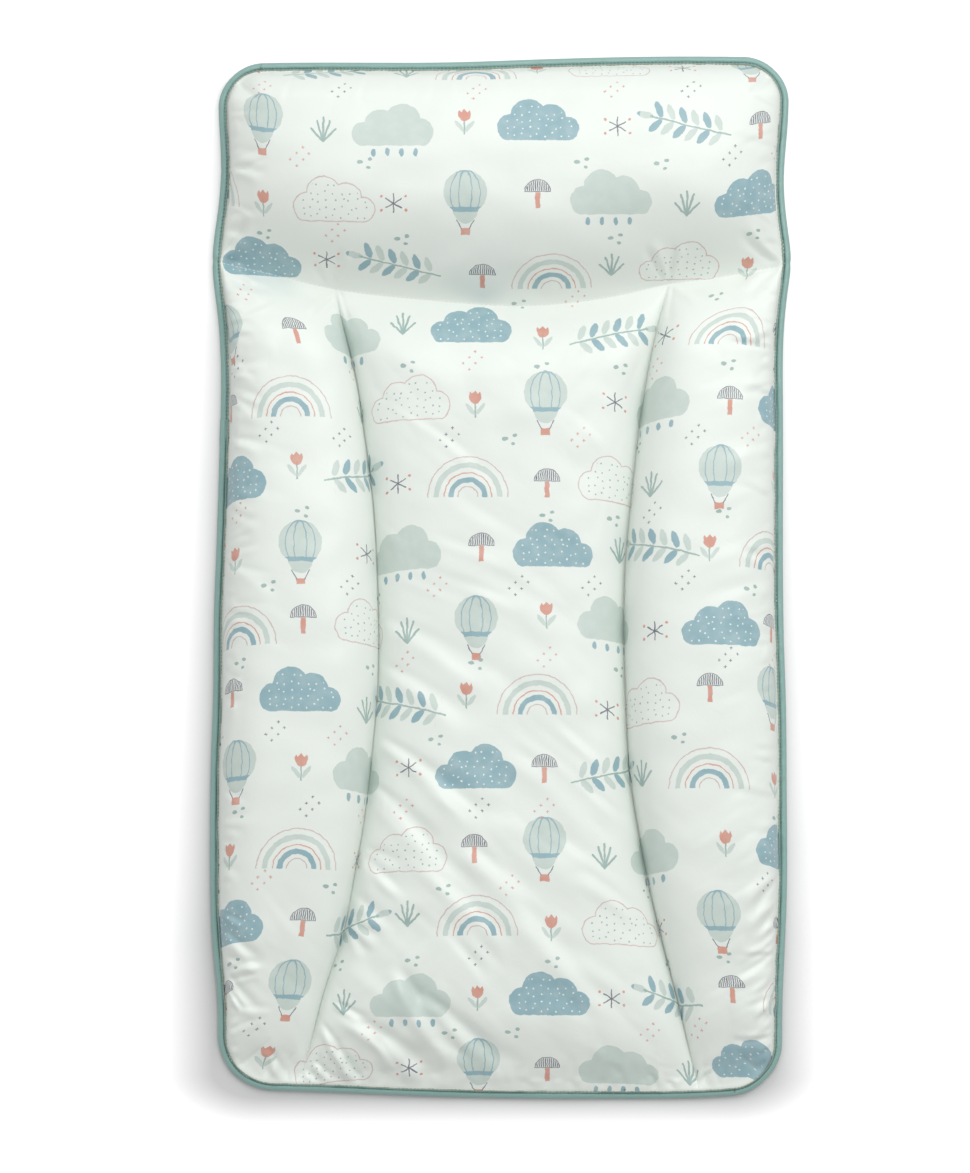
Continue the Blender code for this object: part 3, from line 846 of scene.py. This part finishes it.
def bias_tape(look):
    """Woven bias tape: threads that run diagonally, with a painted highlight on its fold, painted shade along
    its inner edge and stitches, and a painted olive shadow line where it meets the cover.
    """
    base = tuple(look.tape_colour)
    material, ink = principled("bias_tape", base, 0.38)
    place = ink.flat_map("tape")
    slanted = ink.put("ShaderNodeMapping", {}, {"Vector": place, "Rotation": (0, 0, math.radians(45))})
    fine = ink.bump(ink.weave(slanted, 380.0), 0.5, 0.0003)
    along, across = ink.parts(ink.scaled(place, 1000.0))
    drift = ink.noise(place, 14.0, 4.0)
    # Painted shade: the tape is darkened along its inner edge and stitch groove, with a noisy border.
    painted_stitch_shade = ink.math("MULTIPLY", drift * 2.4 + 2.2 - across, 0.7, clamp=True)
    # Painted highlight: the tape is lightened along its outer fold.
    painted_fold_highlight = ink.math("SUBTRACT", 1.0, abs(across - 6.4) * 0.42, clamp=True)
    # Painted shadow line, tinted olive and ragged, along the tape's inner edge where it meets the cover.
    painted_shadow_line = ink.fill(ink.noise(place, 700.0, 2.0) * 1.1 + 0.05 - across)
    tape_join = ink.fill(0.28 - abs(across * -0.8 + along - 3.0))
    colour = base
    for mask, tone in ((drift * 0.7, toned(base, 0.74, 0.82, 0.84)),
                       (painted_stitch_shade * 0.75, toned(base, 0.52, 0.64, 0.64)),
                       (painted_fold_highlight * 0.5, toned(base, 1.30, 1.24, 1.24)),
                       (ink.noise(place, 520.0, 2.0) * 0.30, toned(base, 1.15, 1.12, 1.12)),
                       (painted_shadow_line * 0.8, linear(166, 158, 118)),
                       (tape_join * 0.7, toned(base, 0.45, 0.52, 0.52))):
        colour = ink.paint(colour, mask, tone)
    ink.shade({"Base Color": colour, "Specular IOR Level": 1.0, "Coat Weight": 0.5, "Coat Roughness": 0.32,
               "Normal": ink.bump(ink.noise(place, 300.0, 3.0), 0.6, 0.0006, Normal=fine),
               "Sheen Weight": 0.12, "Sheen Roughness": 0.4})
    return material


def thread(name, colour):
    """Polyester sewing thread, with its twist as a fine bump."""
    colour = tuple(colour)
    material, ink = principled(name, colour, 0.5)
    twist = ink.put("ShaderNodeTexWave", {"bands_direction": "DIAGONAL"},
                    {"Vector": ink.object_place(), "Scale": 900.0, "Distortion": 1.5}, 1)
    ink.shade({"Base Color": ink.paint(colour, twist, toned(colour, 0.85, 0.85, 0.85)),
               "Normal": ink.bump(twist, 0.6, 0.0001), "Sheen Weight": 0.2})
    return material


# How much tighter or looser than its crowned form the cloth is, its frames, how far it may move, the
# least share of that where it is tight, and how near to the binding and to the seams it is held
TIGHT_CLOTH, LOOSE_CLOTH, SETTLING_FRAMES, SETTLING_LIMIT = 0.0, -0.020, 18, 0.009
TIGHT_SHARE, HELD_AT_EDGE, HELD_AT_SEAM = 0.3, 0.0004, 0.0006


def settle_cover(plan, points, slack):
    """Lets the printed cover settle as cloth held at its seams. Returns how far each point moves."""
    coarse = halved(points)
    rows, columns = coarse.shape[:2]
    trial = new_piece("settling_cover", coarse.reshape(-1, 3), grid_quads(rows, columns, 0, False))
    near_edge = halved(plan.to_edge()) <= EDGE_LAND + HELD_AT_EDGE
    near_seam = halved(plan.to_seam()) <= HELD_AT_SEAM
    held = trial.vertex_groups.new(name="held")
    held.add([int(k) for k in np.flatnonzero((near_edge | near_seam).ravel())], 1, "REPLACE")
    loose = trial.vertex_groups.new(name="loose")
    for k, weight in enumerate(halved(slack).ravel()):
        loose.add([k], float(weight), "REPLACE")
    cloth = trial.modifiers.new("cloth", "CLOTH")
    for name, value in (("quality", 5), ("mass", 0.3), ("tension_stiffness", 15),
                        ("compression_stiffness", 15), ("shear_stiffness", 5), ("bending_stiffness", 0.5),
                        ("vertex_group_mass", "held"), ("vertex_group_shrink", "loose"),
                        ("shrink_min", TIGHT_CLOTH), ("shrink_max", LOOSE_CLOTH),
                        ("use_pressure", True), ("uniform_pressure_force", 2)):
        setattr(cloth.settings, name, value)
    cloth.settings.effector_weights.gravity = 0
    cloth.collision_settings.use_collision = False
    cloth.point_cache.frame_start, cloth.point_cache.frame_end = 1, SETTLING_FRAMES
    scene = bpy.context.scene
    for number in range(1, SETTLING_FRAMES + 1):
        scene.frame_set(number)
    settled = trial.evaluated_get(bpy.context.evaluated_depsgraph_get())
    found = mesh_points(settled.data).reshape(rows, columns, 3)
    mesh = trial.data
    bpy.data.objects.remove(trial)
    bpy.data.meshes.remove(mesh)
    scene.frame_set(1)
    moved = SETTLING_LIMIT * np.tanh((found - coarse) / SETTLING_LIMIT)
    return doubled(moved * (TIGHT_SHARE + (1 - TIGHT_SHARE) * halved(slack))[..., None])


# The cover's slack everywhere, more along the binding and over what distance, and its looser areas:
# middle, reach and how much
SLACK, EDGE_SLACK, EDGE_SLACK_REACH = 0.05, 0.35, 0.018
LOOSER_AREAS = [
    (-0.060, -0.240, 0.060, 0.130, 0.75), (0.185, -0.290, 0.030, 0.090, 0.5),
    (-0.190, 0.040, 0.022, 0.120, 0.25), (-0.200, 0.225, 0.040, 0.030, 0.4),
    (0.200, 0.225, 0.040, 0.030, 0.4), (0.0, -0.350, 0.18, 0.03, 0.3),
]


def slack_over(plan):
    """How loose the cover's cloth is at each point, from 0 to 1."""
    slack = SLACK + EDGE_SLACK * np.exp(-(plan.to_edge() - EDGE_LAND) / EDGE_SLACK_REACH)
    for x, y, wide, tall, amount in LOOSER_AREAS:
        slack += amount * np.exp(-((plan.real_x - x) / wide) ** 2 - ((plan.real_y - y) / tall) ** 2)
    return np.clip(slack, 0, 1)


PLAN = MatPlan(bolster_cells=60, centre_cells=140, body_cells=372, head_cells=100)

# The binding: where its tape's ends join, how far they lap and how far apart its points are
JOIN_Y, LAP, RIM_STEP = 0.1055, 0.010, 0.0009
STITCH_PITCH, STITCH_GAP, STITCH_INSET = 0.0027, 0.0008, 0.0045
RIM_LEFT, RIM_RIGHT = -0.205, 0.206

# The folded tape's section: distance inside the mat's edge and height, in millimetres
TAPE_SECTION = [
    (6.1, 7.22), (5.75, 7.62), (5.2, 7.60), (4.85, 7.40), (4.5, 7.28), (4.1, 7.44), (3.5, 7.84),
    (2.6, 8.02), (1.6, 7.92), (0.8, 7.48), (0.25, 6.75), (0.0, 5.85), (0.15, 5.1), (0.6, 4.4),
    (1.3, 3.95), (2.4, 3.72), (3.4, 3.80), (4.1, 4.05), (4.6, 4.22), (5.1, 4.02), (5.8, 4.05),
    (6.1, 4.50), (5.0, 4.72), (3.0, 4.60), (1.7, 4.75), (1.0, 5.3), (0.9, 5.9), (1.0, 6.5),
    (1.7, 7.0), (3.0, 7.10), (5.0, 6.95),
]
TAPE_MIDDLE, TAPE_SELVAGE = 5.85, 5.1

# Changes of the section, in metres: where the lap starts and over what distance, its extra width and
# height, the pinches' depth, the stitches' wave along the tape's own edges and dent on their line, and
# how frayed the tape's own edges are
LAP_EARLY, LAP_OVER, LAP_WIDER, LAP_HIGHER = 0.012, 0.010, 0.0003, 0.00045
PINCH_DEPTH, STITCH_WAVE, STITCH_DENT, FRAYING = 0.003, 0.0003, 0.0002, 0.00008

# Places where the binding is pinched: x, y, reach and share of its thickness, in millimetres
PINCHES = [
    (-206.6, 228.4, 2.6, 0.34), (209.8, 226.6, 2.6, 0.34), (-199.5, 293.4, 2.0, 0.16),
    (2.0, -374.0, 1.8, 0.16), (144.5, -374.0, 1.8, 0.14), (-206.0, -30.0, 2.2, 0.08),
    (-198.0, -352.0, 2.4, 0.12), (206.0, -250.0, 2.2, 0.10), (-60.0, 371.5, 2.2, 0.08),
]


def rim_side(name, start, end, inset):
    """Points along one edge of the squared-off plan."""
    line, inward = EDGES[name]
    along = np.linspace(start, end, max(2, round(abs(end - start) / RIM_STEP)), endpoint=False)
    off = line(along) + inward * inset
    return (off, along) if name in ("left", "right") else (along, off)


def rim_corner(number, wide_first, inset):
    """Points round one corner of the squared-off plan. In the wide half, the far side is across."""
    side, end, radius = CORNERS[number]
    count = max(4, round(radius * math.pi / 4 / RIM_STEP))
    share = np.concatenate([np.linspace(start, 1 - start, count, endpoint=False) for start in (0, 1)])
    wide = np.repeat([wide_first, not wide_first], count)
    reach = radius - inset
    beyond_x, beyond_y = np.where(wide, reach, reach * share), np.where(wide, reach * share, reach)
    edge_x, edge_y = (right_edge if side > 0 else left_edge), (head_edge if end > 0 else foot_edge)
    y = np.full(2 * count, end * 0.37)  # A first guess, which the rounds below put right
    for _ in range(8):
        x = edge_x(y) - side * (radius - beyond_x)
        y = edge_y(x) - end * (radius - beyond_y)
    return x, y


def rim_line(inset):
    """Loop of points at one distance inside the mat's edge, clockwise from the tape's join."""
    top_left, top_right, foot_left, foot_right = (radius for _, _, radius in CORNERS)
    left_low, left_high = float(foot_edge(RIM_LEFT)) + foot_left, float(head_edge(RIM_LEFT)) - top_left
    right_low, right_high = float(foot_edge(RIM_RIGHT)) + foot_right, float(head_edge(RIM_RIGHT)) - top_right
    spans = []
    for name, start, end, corner in (("left", JOIN_Y, left_high, (0, True)),
                                     ("head", RIM_LEFT + top_left, RIM_RIGHT - top_right, (1, False)),
                                     ("right", right_high, right_low, (3, True)),
                                     ("foot", RIM_RIGHT - foot_right, RIM_LEFT + foot_left, (2, False))):
        spans += [rim_side(name, start, end, inset), rim_corner(*corner, inset)]
    spans.append(rim_side("left", left_low, JOIN_Y, inset))
    return np.stack(rounded(*np.concatenate(spans, axis=1)), -1)


def travel(line):
    """Distance travelled at each point of a line."""
    return np.concatenate([[0], np.cumsum(np.linalg.norm(np.diff(line, axis=0), axis=1))])


def tape_points():
    """Points of the tape's section at each place round the edge, with its map on the flat tape."""
    loops = {inset: rim_line(inset / 1000) for inset, _ in TAPE_SECTION}
    middle = loops[2.6]
    around = np.concatenate([np.arange(len(middle)), np.arange(round(LAP / RIM_STEP))])
    travelled = travel(middle[around])
    x, y = middle[around].T
    width = swells(x, y, (0.05, 0.060, 21), (0.03, 0.011, 24))
    puff = 1 + swells(x, y, (0.09, 0.022, 22), (0.05, 0.008, 25))
    lift = swells(x, y, (0.00022, 0.090, 23))
    stitch = 0.5 + 0.5 * np.cos(2 * math.pi * travelled / STITCH_PITCH)
    frayed = np.random.default_rng(8).normal(0, FRAYING, len(around))
    pinch = sum(share * np.exp(-(np.hypot(x - at_x / 1000, y - at_y / 1000) / (reach / 1000)) ** 2)
                for at_x, at_y, reach, share in PINCHES)
    over = smooth_step((travelled - travelled[-1] + LAP + LAP_EARLY) / LAP_OVER)
    outward = middle[around] - loops[3.5][around]
    outward /= np.linalg.norm(outward, axis=1, keepdims=True)
    section = []
    for inset, height in TAPE_SECTION:
        shift = width * (0.4 - inset) / 1000 + over * LAP_WIDER * (1 - inset / 4)
        shift = shift - PINCH_DEPTH * pinch * (inset < 4)
        from_middle = (height - TAPE_MIDDLE) / 1000
        tall = from_middle * np.where(inset > TAPE_SELVAGE, 1, puff) * (1 - pinch)
        tall += np.sign(from_middle) * over * LAP_HIGHER
        if inset > TAPE_SELVAGE:
            shift += STITCH_WAVE * (stitch - 0.5) + frayed
        elif 4.0 < inset < 5.0:
            tall -= np.sign(from_middle) * STITCH_DENT * (1 - stitch)
        place = loops[inset][around] + outward * shift[:, None]
        tall += TAPE_MIDDLE / 1000 + lift - edge_drop(inset / 1000, y)
        section.append(np.column_stack([place, tall]))
    return np.stack(section, axis=1), travelled, travel(np.array(TAPE_SECTION)) / 1000


def lengthwise(points):
    """Faces of a tube through the rows of points, open at both ends."""
    rows, sides = points.shape[:2]
    index = np.arange(rows * sides).reshape(rows, sides)
    a, b = index[:-1], index[1:]
    return np.stack([a, np.roll(a, -1, 1), np.roll(b, -1, 1), b], -1).reshape(-1, 4)


def strands(name, starts, ends, up, radius, material):
    """Stitches as short strands of thread, each one arched and dipping into the cloth at both ends."""
    shares = np.array([0.0, 0.16, 0.5, 0.84, 1.0])
    heights = np.array([-1.6, 0.25, 0.75, 0.25, -1.6]) * radius
    thick = np.array([0.55, 0.95, 1.0, 0.95, 0.55]) * radius
    sides = 6
    turns = np.arange(sides) * 2 * math.pi / sides
    up = np.array(up, float)
    run = ends - starts
    aside = np.cross(run, up)
    aside /= np.linalg.norm(aside, axis=1, keepdims=True)
    spine = starts[:, None] + run[:, None] * shares[:, None] + up * heights[:, None]
    ring = aside[:, None, None] * np.cos(turns)[:, None] + up * np.sin(turns)[:, None]
    points = spine[:, :, None] + ring * thick[:, None, None]
    index = np.arange(len(starts) * len(shares) * sides).reshape(len(starts), len(shares), sides)
    a, b = index[:, :-1], index[:, 1:]
    quads = np.stack([a, b, np.roll(b, -1, 2), np.roll(a, -1, 2)], -1).reshape(-1, 4)
    return new_piece(name, points.reshape(-1, 3), [*quads, *index[:, 0], *index[:, -1, ::-1]], material)


def stitch_along(line, pitch, gap):
    """Start and end points of stitches along a line of points."""
    travelled = travel(line)
    begin = np.arange(int((travelled[-1] - gap) / pitch)) * pitch + gap / 2

    def at(places):
        return np.stack([np.interp(places, travelled, line[:, k]) for k in range(3)], -1)

    return at(begin), at(begin + pitch - gap)


def loft_property(name, pad, default):
    return bpy.props.FloatProperty(name=name, description=f"Depth of the wadding in the {pad}",
                                   default=default, min=0.01, subtype="DISTANCE", unit="LENGTH")


def share_property(name, what):
    return bpy.props.FloatProperty(name=name, description=f"Share of the {what} that shows",
                                   default=1, min=0, max=2)


class MatShape(bpy.types.PropertyGroup):
    """Heights and folds of the mat"""
    head_loft: loft_property("Head bolster loft", "head bolster", 0.054)
    bolster_loft: loft_property("Side bolster loft", "side bolsters", 0.048)
    centre_loft: loft_property("Centre pad loft", "centre pad", 0.033)
    fold_depth: share_property("Fold depth", "cover's folds")
    pucker_depth: share_property("Pucker depth", "gathers along the binding")


def colour_property(name, description, red, green, blue):
    return bpy.props.FloatVectorProperty(name=name, description=description, subtype="COLOR", size=3,
                                         min=0, max=1, default=linear(red, green, blue))


class MatLook(bpy.types.PropertyGroup):
    """Colours of the mat's cloth, print, tape and threads"""
    cloth_colour: colour_property("Cloth", "Ground colour of both covers", 239, 245, 239)
    teal_ink: colour_property("Teal ink", "Clouds and leaves of the print", 146, 181, 190)
    sage_ink: colour_property("Sage ink", "Pale motifs of the print", 205, 219, 212)
    deep_sage_ink: colour_property("Deep sage ink", "Stems and small plants", 160, 186, 180)
    blush_ink: colour_property("Blush ink", "Thin outlines of the print", 212, 190, 184)
    coral_ink: colour_property("Coral ink", "Small warm accents of the print", 217, 156, 138)
    slate_ink: colour_property("Slate ink", "Hatching and small dark marks", 104, 108, 122)
    tape_colour: colour_property("Tape", "Edge binding", 128, 170, 162)
    fibre_colour: colour_property("Fibre", "Wadding", 238, 238, 235)
    tape_thread_colour: colour_property("Binding thread", "Thread of the binding's stitches", 84, 120, 112)
    seam_thread_colour: colour_property("Seam thread", "Thread of the channels and the crease", 236, 240, 235)


def dress(piece, slot, *nodes):
    """The piece, with its transform applied, stands for its CAD nodes, which are hidden."""
    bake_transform(piece)
    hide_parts(*nodes)


def flat_size(u, v):
    """Mean width and length of the flat cloth from the places on it."""
    return float(np.mean(u[:, -1] - u[:, 0])), float(np.mean(v[-1] - v[0]))


def build_top_cover(shape, look):
    smooth = base_under(PLAN) + STACK + loft(PLAN, shape)
    points = np.stack([PLAN.real_x, PLAN.real_y, smooth + puckers_over(PLAN, shape)], -1)
    points = points + settle_cover(PLAN, points, slack_over(PLAN))
    points[..., 2] += folds_over(PLAN, shape)
    lower = points - TOP_CLOTH * surface_normals(points)
    piece = closed_form("top_cover", points, lower, printed_cloth(look))
    set_cover_map(piece, *cloth_lengths(PLAN, smooth, share=PRINT_STRETCH))
    dress(piece, "printed_cover", "body_top_cover", "head_top_cover")
    flat_size(*cloth_lengths(PLAN, smooth))


def build_base_cover(look):
    plan = MatPlan(bolster_cells=24, centre_cells=44, body_cells=110, head_cells=40)
    under = base_under(plan)
    upper, lower = (np.stack([plan.real_x, plan.real_y, height], -1) for height in (under + COVER, under))
    piece = closed_form("base_cover", upper, lower, plain_cloth(look))
    u, v = cloth_lengths(plan, under)
    set_cover_map(piece, u, v)
    dress(piece, "plain_cover", "body_base_cover", "head_base_cover")
    flat_size(u, v)


def cover_underside():
    """The top cover's lower points, as a grid."""
    if "top_cover" not in bpy.data.objects:
        raise RuntimeError("top_cover has to be made first")
    return mesh_points(bpy.data.objects["top_cover"].data).reshape(2, *PLAN.x.shape, 3)[1]


def lowest_near(grid, reach):
    """Lowest value within a few cells of each point of a grid."""
    for axis in (0, 1):
        padding = [(0, 0), (0, 0)]
        padding[axis] = (reach, reach)
        wide = np.pad(grid, padding, mode="edge")
        grid = np.min([np.take(wide, np.arange(grid.shape[axis]) + k, axis) for k in range(2 * reach + 1)],
                      axis=0)
    return grid


def build_wadding(look):
    material = fibre(look)
    underside = cover_underside()
    floor_under = base_under(PLAN) + COVER + LAYER_GAP
    body, last = slice(6, PLAN.crease - 1), PLAN.x.shape[1]
    for name, rows, columns in (
            ("head_bolster", slice(PLAN.crease + 2, -5), slice(6, last - 5)),
            ("left_bolster", body, slice(6, PLAN.left_channel - 1)),
            ("centre_pad", body, slice(PLAN.left_channel + 2, PLAN.right_channel - 1)),
            ("right_bolster", body, slice(PLAN.right_channel + 2, last - 5))):
        over = underside[rows, columns].copy()
        over[..., 2] = lowest_near(over[..., 2], 2)
        over, floor = halved(over), halved(floor_under[rows, columns])
        depth = np.maximum(over[..., 2] - floor, LEAST_WADDING)
        fullness = WADDING_FULL + swells(over[..., 0], over[..., 1], (WADDING_LUMPS, 0.04, 31))
        upper, lower = over.copy(), over.copy()
        upper[..., 2] = floor + depth * fullness - WADDING_CLEARANCE
        lower[..., 2] = floor
        piece = closed_form(name + "_wadding", upper, lower, material)
        dress(piece, "fibre_filling", name + "_filling")


def build_binding(look):
    points, travelled, across = tape_points()
    rows, sides = points.shape[:2]
    first, last = list(range(sides)), list(range((rows - 1) * sides, rows * sides))
    faces = [*lengthwise(points), first[::-1], last]
    piece = new_piece("edge_binding", points.reshape(-1, 3), faces, bias_tape(look))
    set_cloth_map(piece, "tape", np.repeat(travelled, sides), np.tile(across, rows))
    dress(piece, "binding_tape", "body_edge_binding", "head_edge_binding")


def closed_loop(line, height):
    """Points of a loop along the stitches, with the first one again at its end."""
    line = np.concatenate([line, line[:1]])
    return np.column_stack([line, height - edge_drop(STITCH_INSET, line[:, 1])])


def build_binding_stitches(look):
    material = thread("binding_thread", look.tape_thread_colour)
    inner, outer = (rim_line(STITCH_INSET + lean) for lean in (STITCH_LEAN, -STITCH_LEAN))
    for side, height, up in (("needle", NEEDLE_HEIGHT, (0, 0, 1)), ("bobbin", BOBBIN_HEIGHT, (0, 0, -1))):
        starts, _ = stitch_along(closed_loop(outer, height), STITCH_PITCH, STITCH_GAP)
        _, ends = stitch_along(closed_loop(inner, height), STITCH_PITCH, STITCH_GAP)
        count = min(len(starts), len(ends))
        piece = strands(f"binding_{side}_stitches", starts[:count], ends[:count], up, TAPE_THREAD, material)
        dress(piece, "binding_thread", f"body_binding_{side}_thread", f"head_binding_{side}_thread")


def build_seam_stitches(look):
    material = thread("seam_thread", look.seam_thread_colour)
    under = base_under(PLAN)
    body = slice(4, PLAN.crease - 1)
    for seam, rows, columns in (("left_channel", body, PLAN.left_channel),
                                ("right_channel", body, PLAN.right_channel),
                                ("head_seam", PLAN.crease, slice(4, -4))):
        for side, above, up in (("needle", STACK, (0, 0, 1)), ("bobbin", 0, (0, 0, -1))):
            line = np.stack([PLAN.real_x, PLAN.real_y, under + above], -1)[rows, columns]
            starts, ends = stitch_along(line, SEAM_PITCH, SEAM_GAP)
            piece = strands(f"{seam}_{side}_stitches", starts, ends, up, SEAM_THREAD, material)
            dress(piece, "seam_thread", f"{seam}_{side}_thread")


# The studio: the room's light and how much more of it comes from the head's side
ROOM_LIGHT, ROOM_SLANT = 0.61, 0.41
KEY_WAY, KEY_DISTANCE, KEY_SIZE, KEY_POWER = (0.28, 0.46, 0.83), 2.4, 2.2, 25.2
CAMERA_PLACE, SEEN_LENGTH = (-0.0104, -0.0058, 2.3), 0.844

# The floor glows round a rectangle, given by its shift, half its sizes and its lengthwise stretch. The
# glow starts at a distance, rises steeply to its most, grows slowly further off and reaches nearer to
# the mat towards the head. The glow is painted light that only the camera sees, and its gap near the
# mat is a painted shadow, widest along the left side and the foot.
FLOOR_GLOW, GLOW_SHIFT, GLOW_HALF_SIZES, GLOW_STRETCH = 0.40, (0.004, 0.003, 0), (0.168, 0.3526), 1.8
GLOW_START, GLOW_STEEPNESS, GLOW_MOST, GLOW_FAR = 0.035, 34.0, 1.3, 0.5
GLOW_TO_HEAD, GLOW_BESIDE = 1.9, 0.5


def build_world():
    world = bpy.data.worlds.new("pale_room")
    bpy.context.scene.world = world
    world.use_nodes = True
    ink = Ink(world.node_tree, "Background")
    rays = ("Is Camera Ray", "Is Glossy Ray", "Is Transmission Ray")
    seen = ink.either(*(ink.put("ShaderNodeLightPath", {}, {}, ray) for ray in rays))
    way_y = ink.parts(ink.put("ShaderNodeTexCoord", {}, {}))[1]
    room = (way_y * ROOM_SLANT + 1.0) * ROOM_LIGHT
    ink.shade({"Color": (1, 1, 1, 1), "Strength": room * (1.0 - seen) + seen})


def build_floor():
    white, ink = principled("white_floor", (0.70, 0.70, 0.70), 0.9)
    at = ink.object_place()
    x, y = ink.parts(ink.vector("ABSOLUTE", ink.vector("ADD", at, GLOW_SHIFT)))
    beyond = ink.joined(ink.either(x - GLOW_HALF_SIZES[0], 0.0),
                        ink.either(y - GLOW_HALF_SIZES[1], 0.0) * GLOW_STRETCH)
    away = ink.vector("LENGTH", beyond) - GLOW_START
    beside = ink.either(ink.parts(at)[1] * GLOW_TO_HEAD + GLOW_BESIDE, 0.0)
    share = ink.either(ink.both(away * GLOW_STEEPNESS + beside, GLOW_MOST), 0.0)
    share = share + ink.math("MULTIPLY", away, GLOW_FAR, clamp=True)
    # Painted light on the floor for the camera only, left out near the mat as a painted shadow.
    camera_ray = ink.put("ShaderNodeLightPath", {}, {})
    ink.shade({"Specular IOR Level": 0.1, "Emission Color": (1, 1, 1, 1),
               "Emission Strength": camera_ray * share * FLOOR_GLOW})
    floor = new_piece("floor", [(-4, -4, 0), (4, -4, 0), (4, 4, 0), (-4, 4, 0)], [(0, 1, 2, 3)], white)


def build_key():
    data = bpy.data.lights.new("key", "AREA")
    data.shape, data.size, data.energy = "DISK", KEY_SIZE, KEY_POWER
    key = new_object("key", data)
    toward = Vector(KEY_WAY).normalized()
    key.location = toward * KEY_DISTANCE
    key.rotation_euler = toward.to_track_quat("Z", "Y").to_euler()


def build_camera():
    data = bpy.data.cameras.new("camera")
    data.sensor_fit, data.sensor_height = "VERTICAL", 36
    data.lens = data.sensor_height * (CAMERA_PLACE[2] - TAPE_MIDDLE / 1000) / SEEN_LENGTH
    camera = new_object("camera", data)
    camera.location = CAMERA_PLACE
    bpy.context.scene.camera = camera
    bpy.context.scene.view_settings.view_transform = "Standard"


class MAT_OT_top_cover(bpy.types.Operator):
    """Makes the printed cover, settled as cloth over the four pads"""
    bl_idname = "changing_mat.top_cover"
    bl_label = "Top cover"

    def execute(self, context):
        build_top_cover(context.scene.mat_shape, context.scene.mat_look)
        return {"FINISHED"}


class MAT_OT_base_cover(bpy.types.Operator):
    """Makes the plain cover under the mat"""
    bl_idname = "changing_mat.base_cover"
    bl_label = "Base cover"

    def execute(self, context):
        build_base_cover(context.scene.mat_look)
        return {"FINISHED"}


class MAT_OT_wadding(bpy.types.Operator):
    """Makes the fibre in the four pads, under the top cover"""
    bl_idname = "changing_mat.wadding"
    bl_label = "Wadding"

    def execute(self, context):
        build_wadding(context.scene.mat_look)
        return {"FINISHED"}


class MAT_OT_binding(bpy.types.Operator):
    """Makes the bias tape folded over the mat's edge"""
    bl_idname = "changing_mat.binding"
    bl_label = "Edge binding"

    def execute(self, context):
        build_binding(context.scene.mat_look)
        return {"FINISHED"}


class MAT_OT_binding_stitches(bpy.types.Operator):
    """Makes both threads of the stitches through the binding"""
    bl_idname = "changing_mat.binding_stitches"
    bl_label = "Binding stitches"

    def execute(self, context):
        build_binding_stitches(context.scene.mat_look)
        return {"FINISHED"}


class MAT_OT_seam_stitches(bpy.types.Operator):
    """Makes both threads of the channels and the crease"""
    bl_idname = "changing_mat.seam_stitches"
    bl_label = "Seam stitches"

    def execute(self, context):
        build_seam_stitches(context.scene.mat_look)
        return {"FINISHED"}


class MAT_OT_studio(bpy.types.Operator):
    """Makes the white floor, the light and the camera"""
    bl_idname = "changing_mat.studio"
    bl_label = "Studio"

    def execute(self, context):
        build_world()
        build_floor()
        build_key()
        build_camera()
        return {"FINISHED"}


STEPS = (MAT_OT_top_cover, MAT_OT_base_cover, MAT_OT_wadding, MAT_OT_binding, MAT_OT_binding_stitches,
         MAT_OT_seam_stitches, MAT_OT_studio)


class MAT_PT_panel(bpy.types.Panel):
    """Lists the mat's sizes, colours and steps"""
    bl_idname = "MAT_PT_panel"
    bl_label = "Changing mat"
    bl_space_type = "VIEW_3D"
    bl_region_type = "UI"
    bl_category = "Changing mat"

    def draw(self, context):
        for settings in (context.scene.mat_shape, context.scene.mat_look):
            for name in settings.bl_rna.properties.keys():
                if name not in ("rna_type", "name"):
                    self.layout.prop(settings, name)
        for step in STEPS:
            self.layout.operator(step.bl_idname)


CLASSES = (MatShape, MatLook, *STEPS, MAT_PT_panel)


def register():
    for item in CLASSES:
        bpy.utils.register_class(item)
    bpy.types.Scene.mat_shape = bpy.props.PointerProperty(type=MatShape)
    bpy.types.Scene.mat_look = bpy.props.PointerProperty(type=MatLook)


def unregister():
    del bpy.types.Scene.mat_look
    del bpy.types.Scene.mat_shape
    for item in reversed(CLASSES):
        bpy.utils.unregister_class(item)


def main():
    register()
    mat = bpy.ops.changing_mat
    for make in (mat.top_cover, mat.base_cover, mat.wadding, mat.binding, mat.binding_stitches,
                 mat.seam_stitches, mat.studio):
        make()


if __name__ == "__main__":
    main()
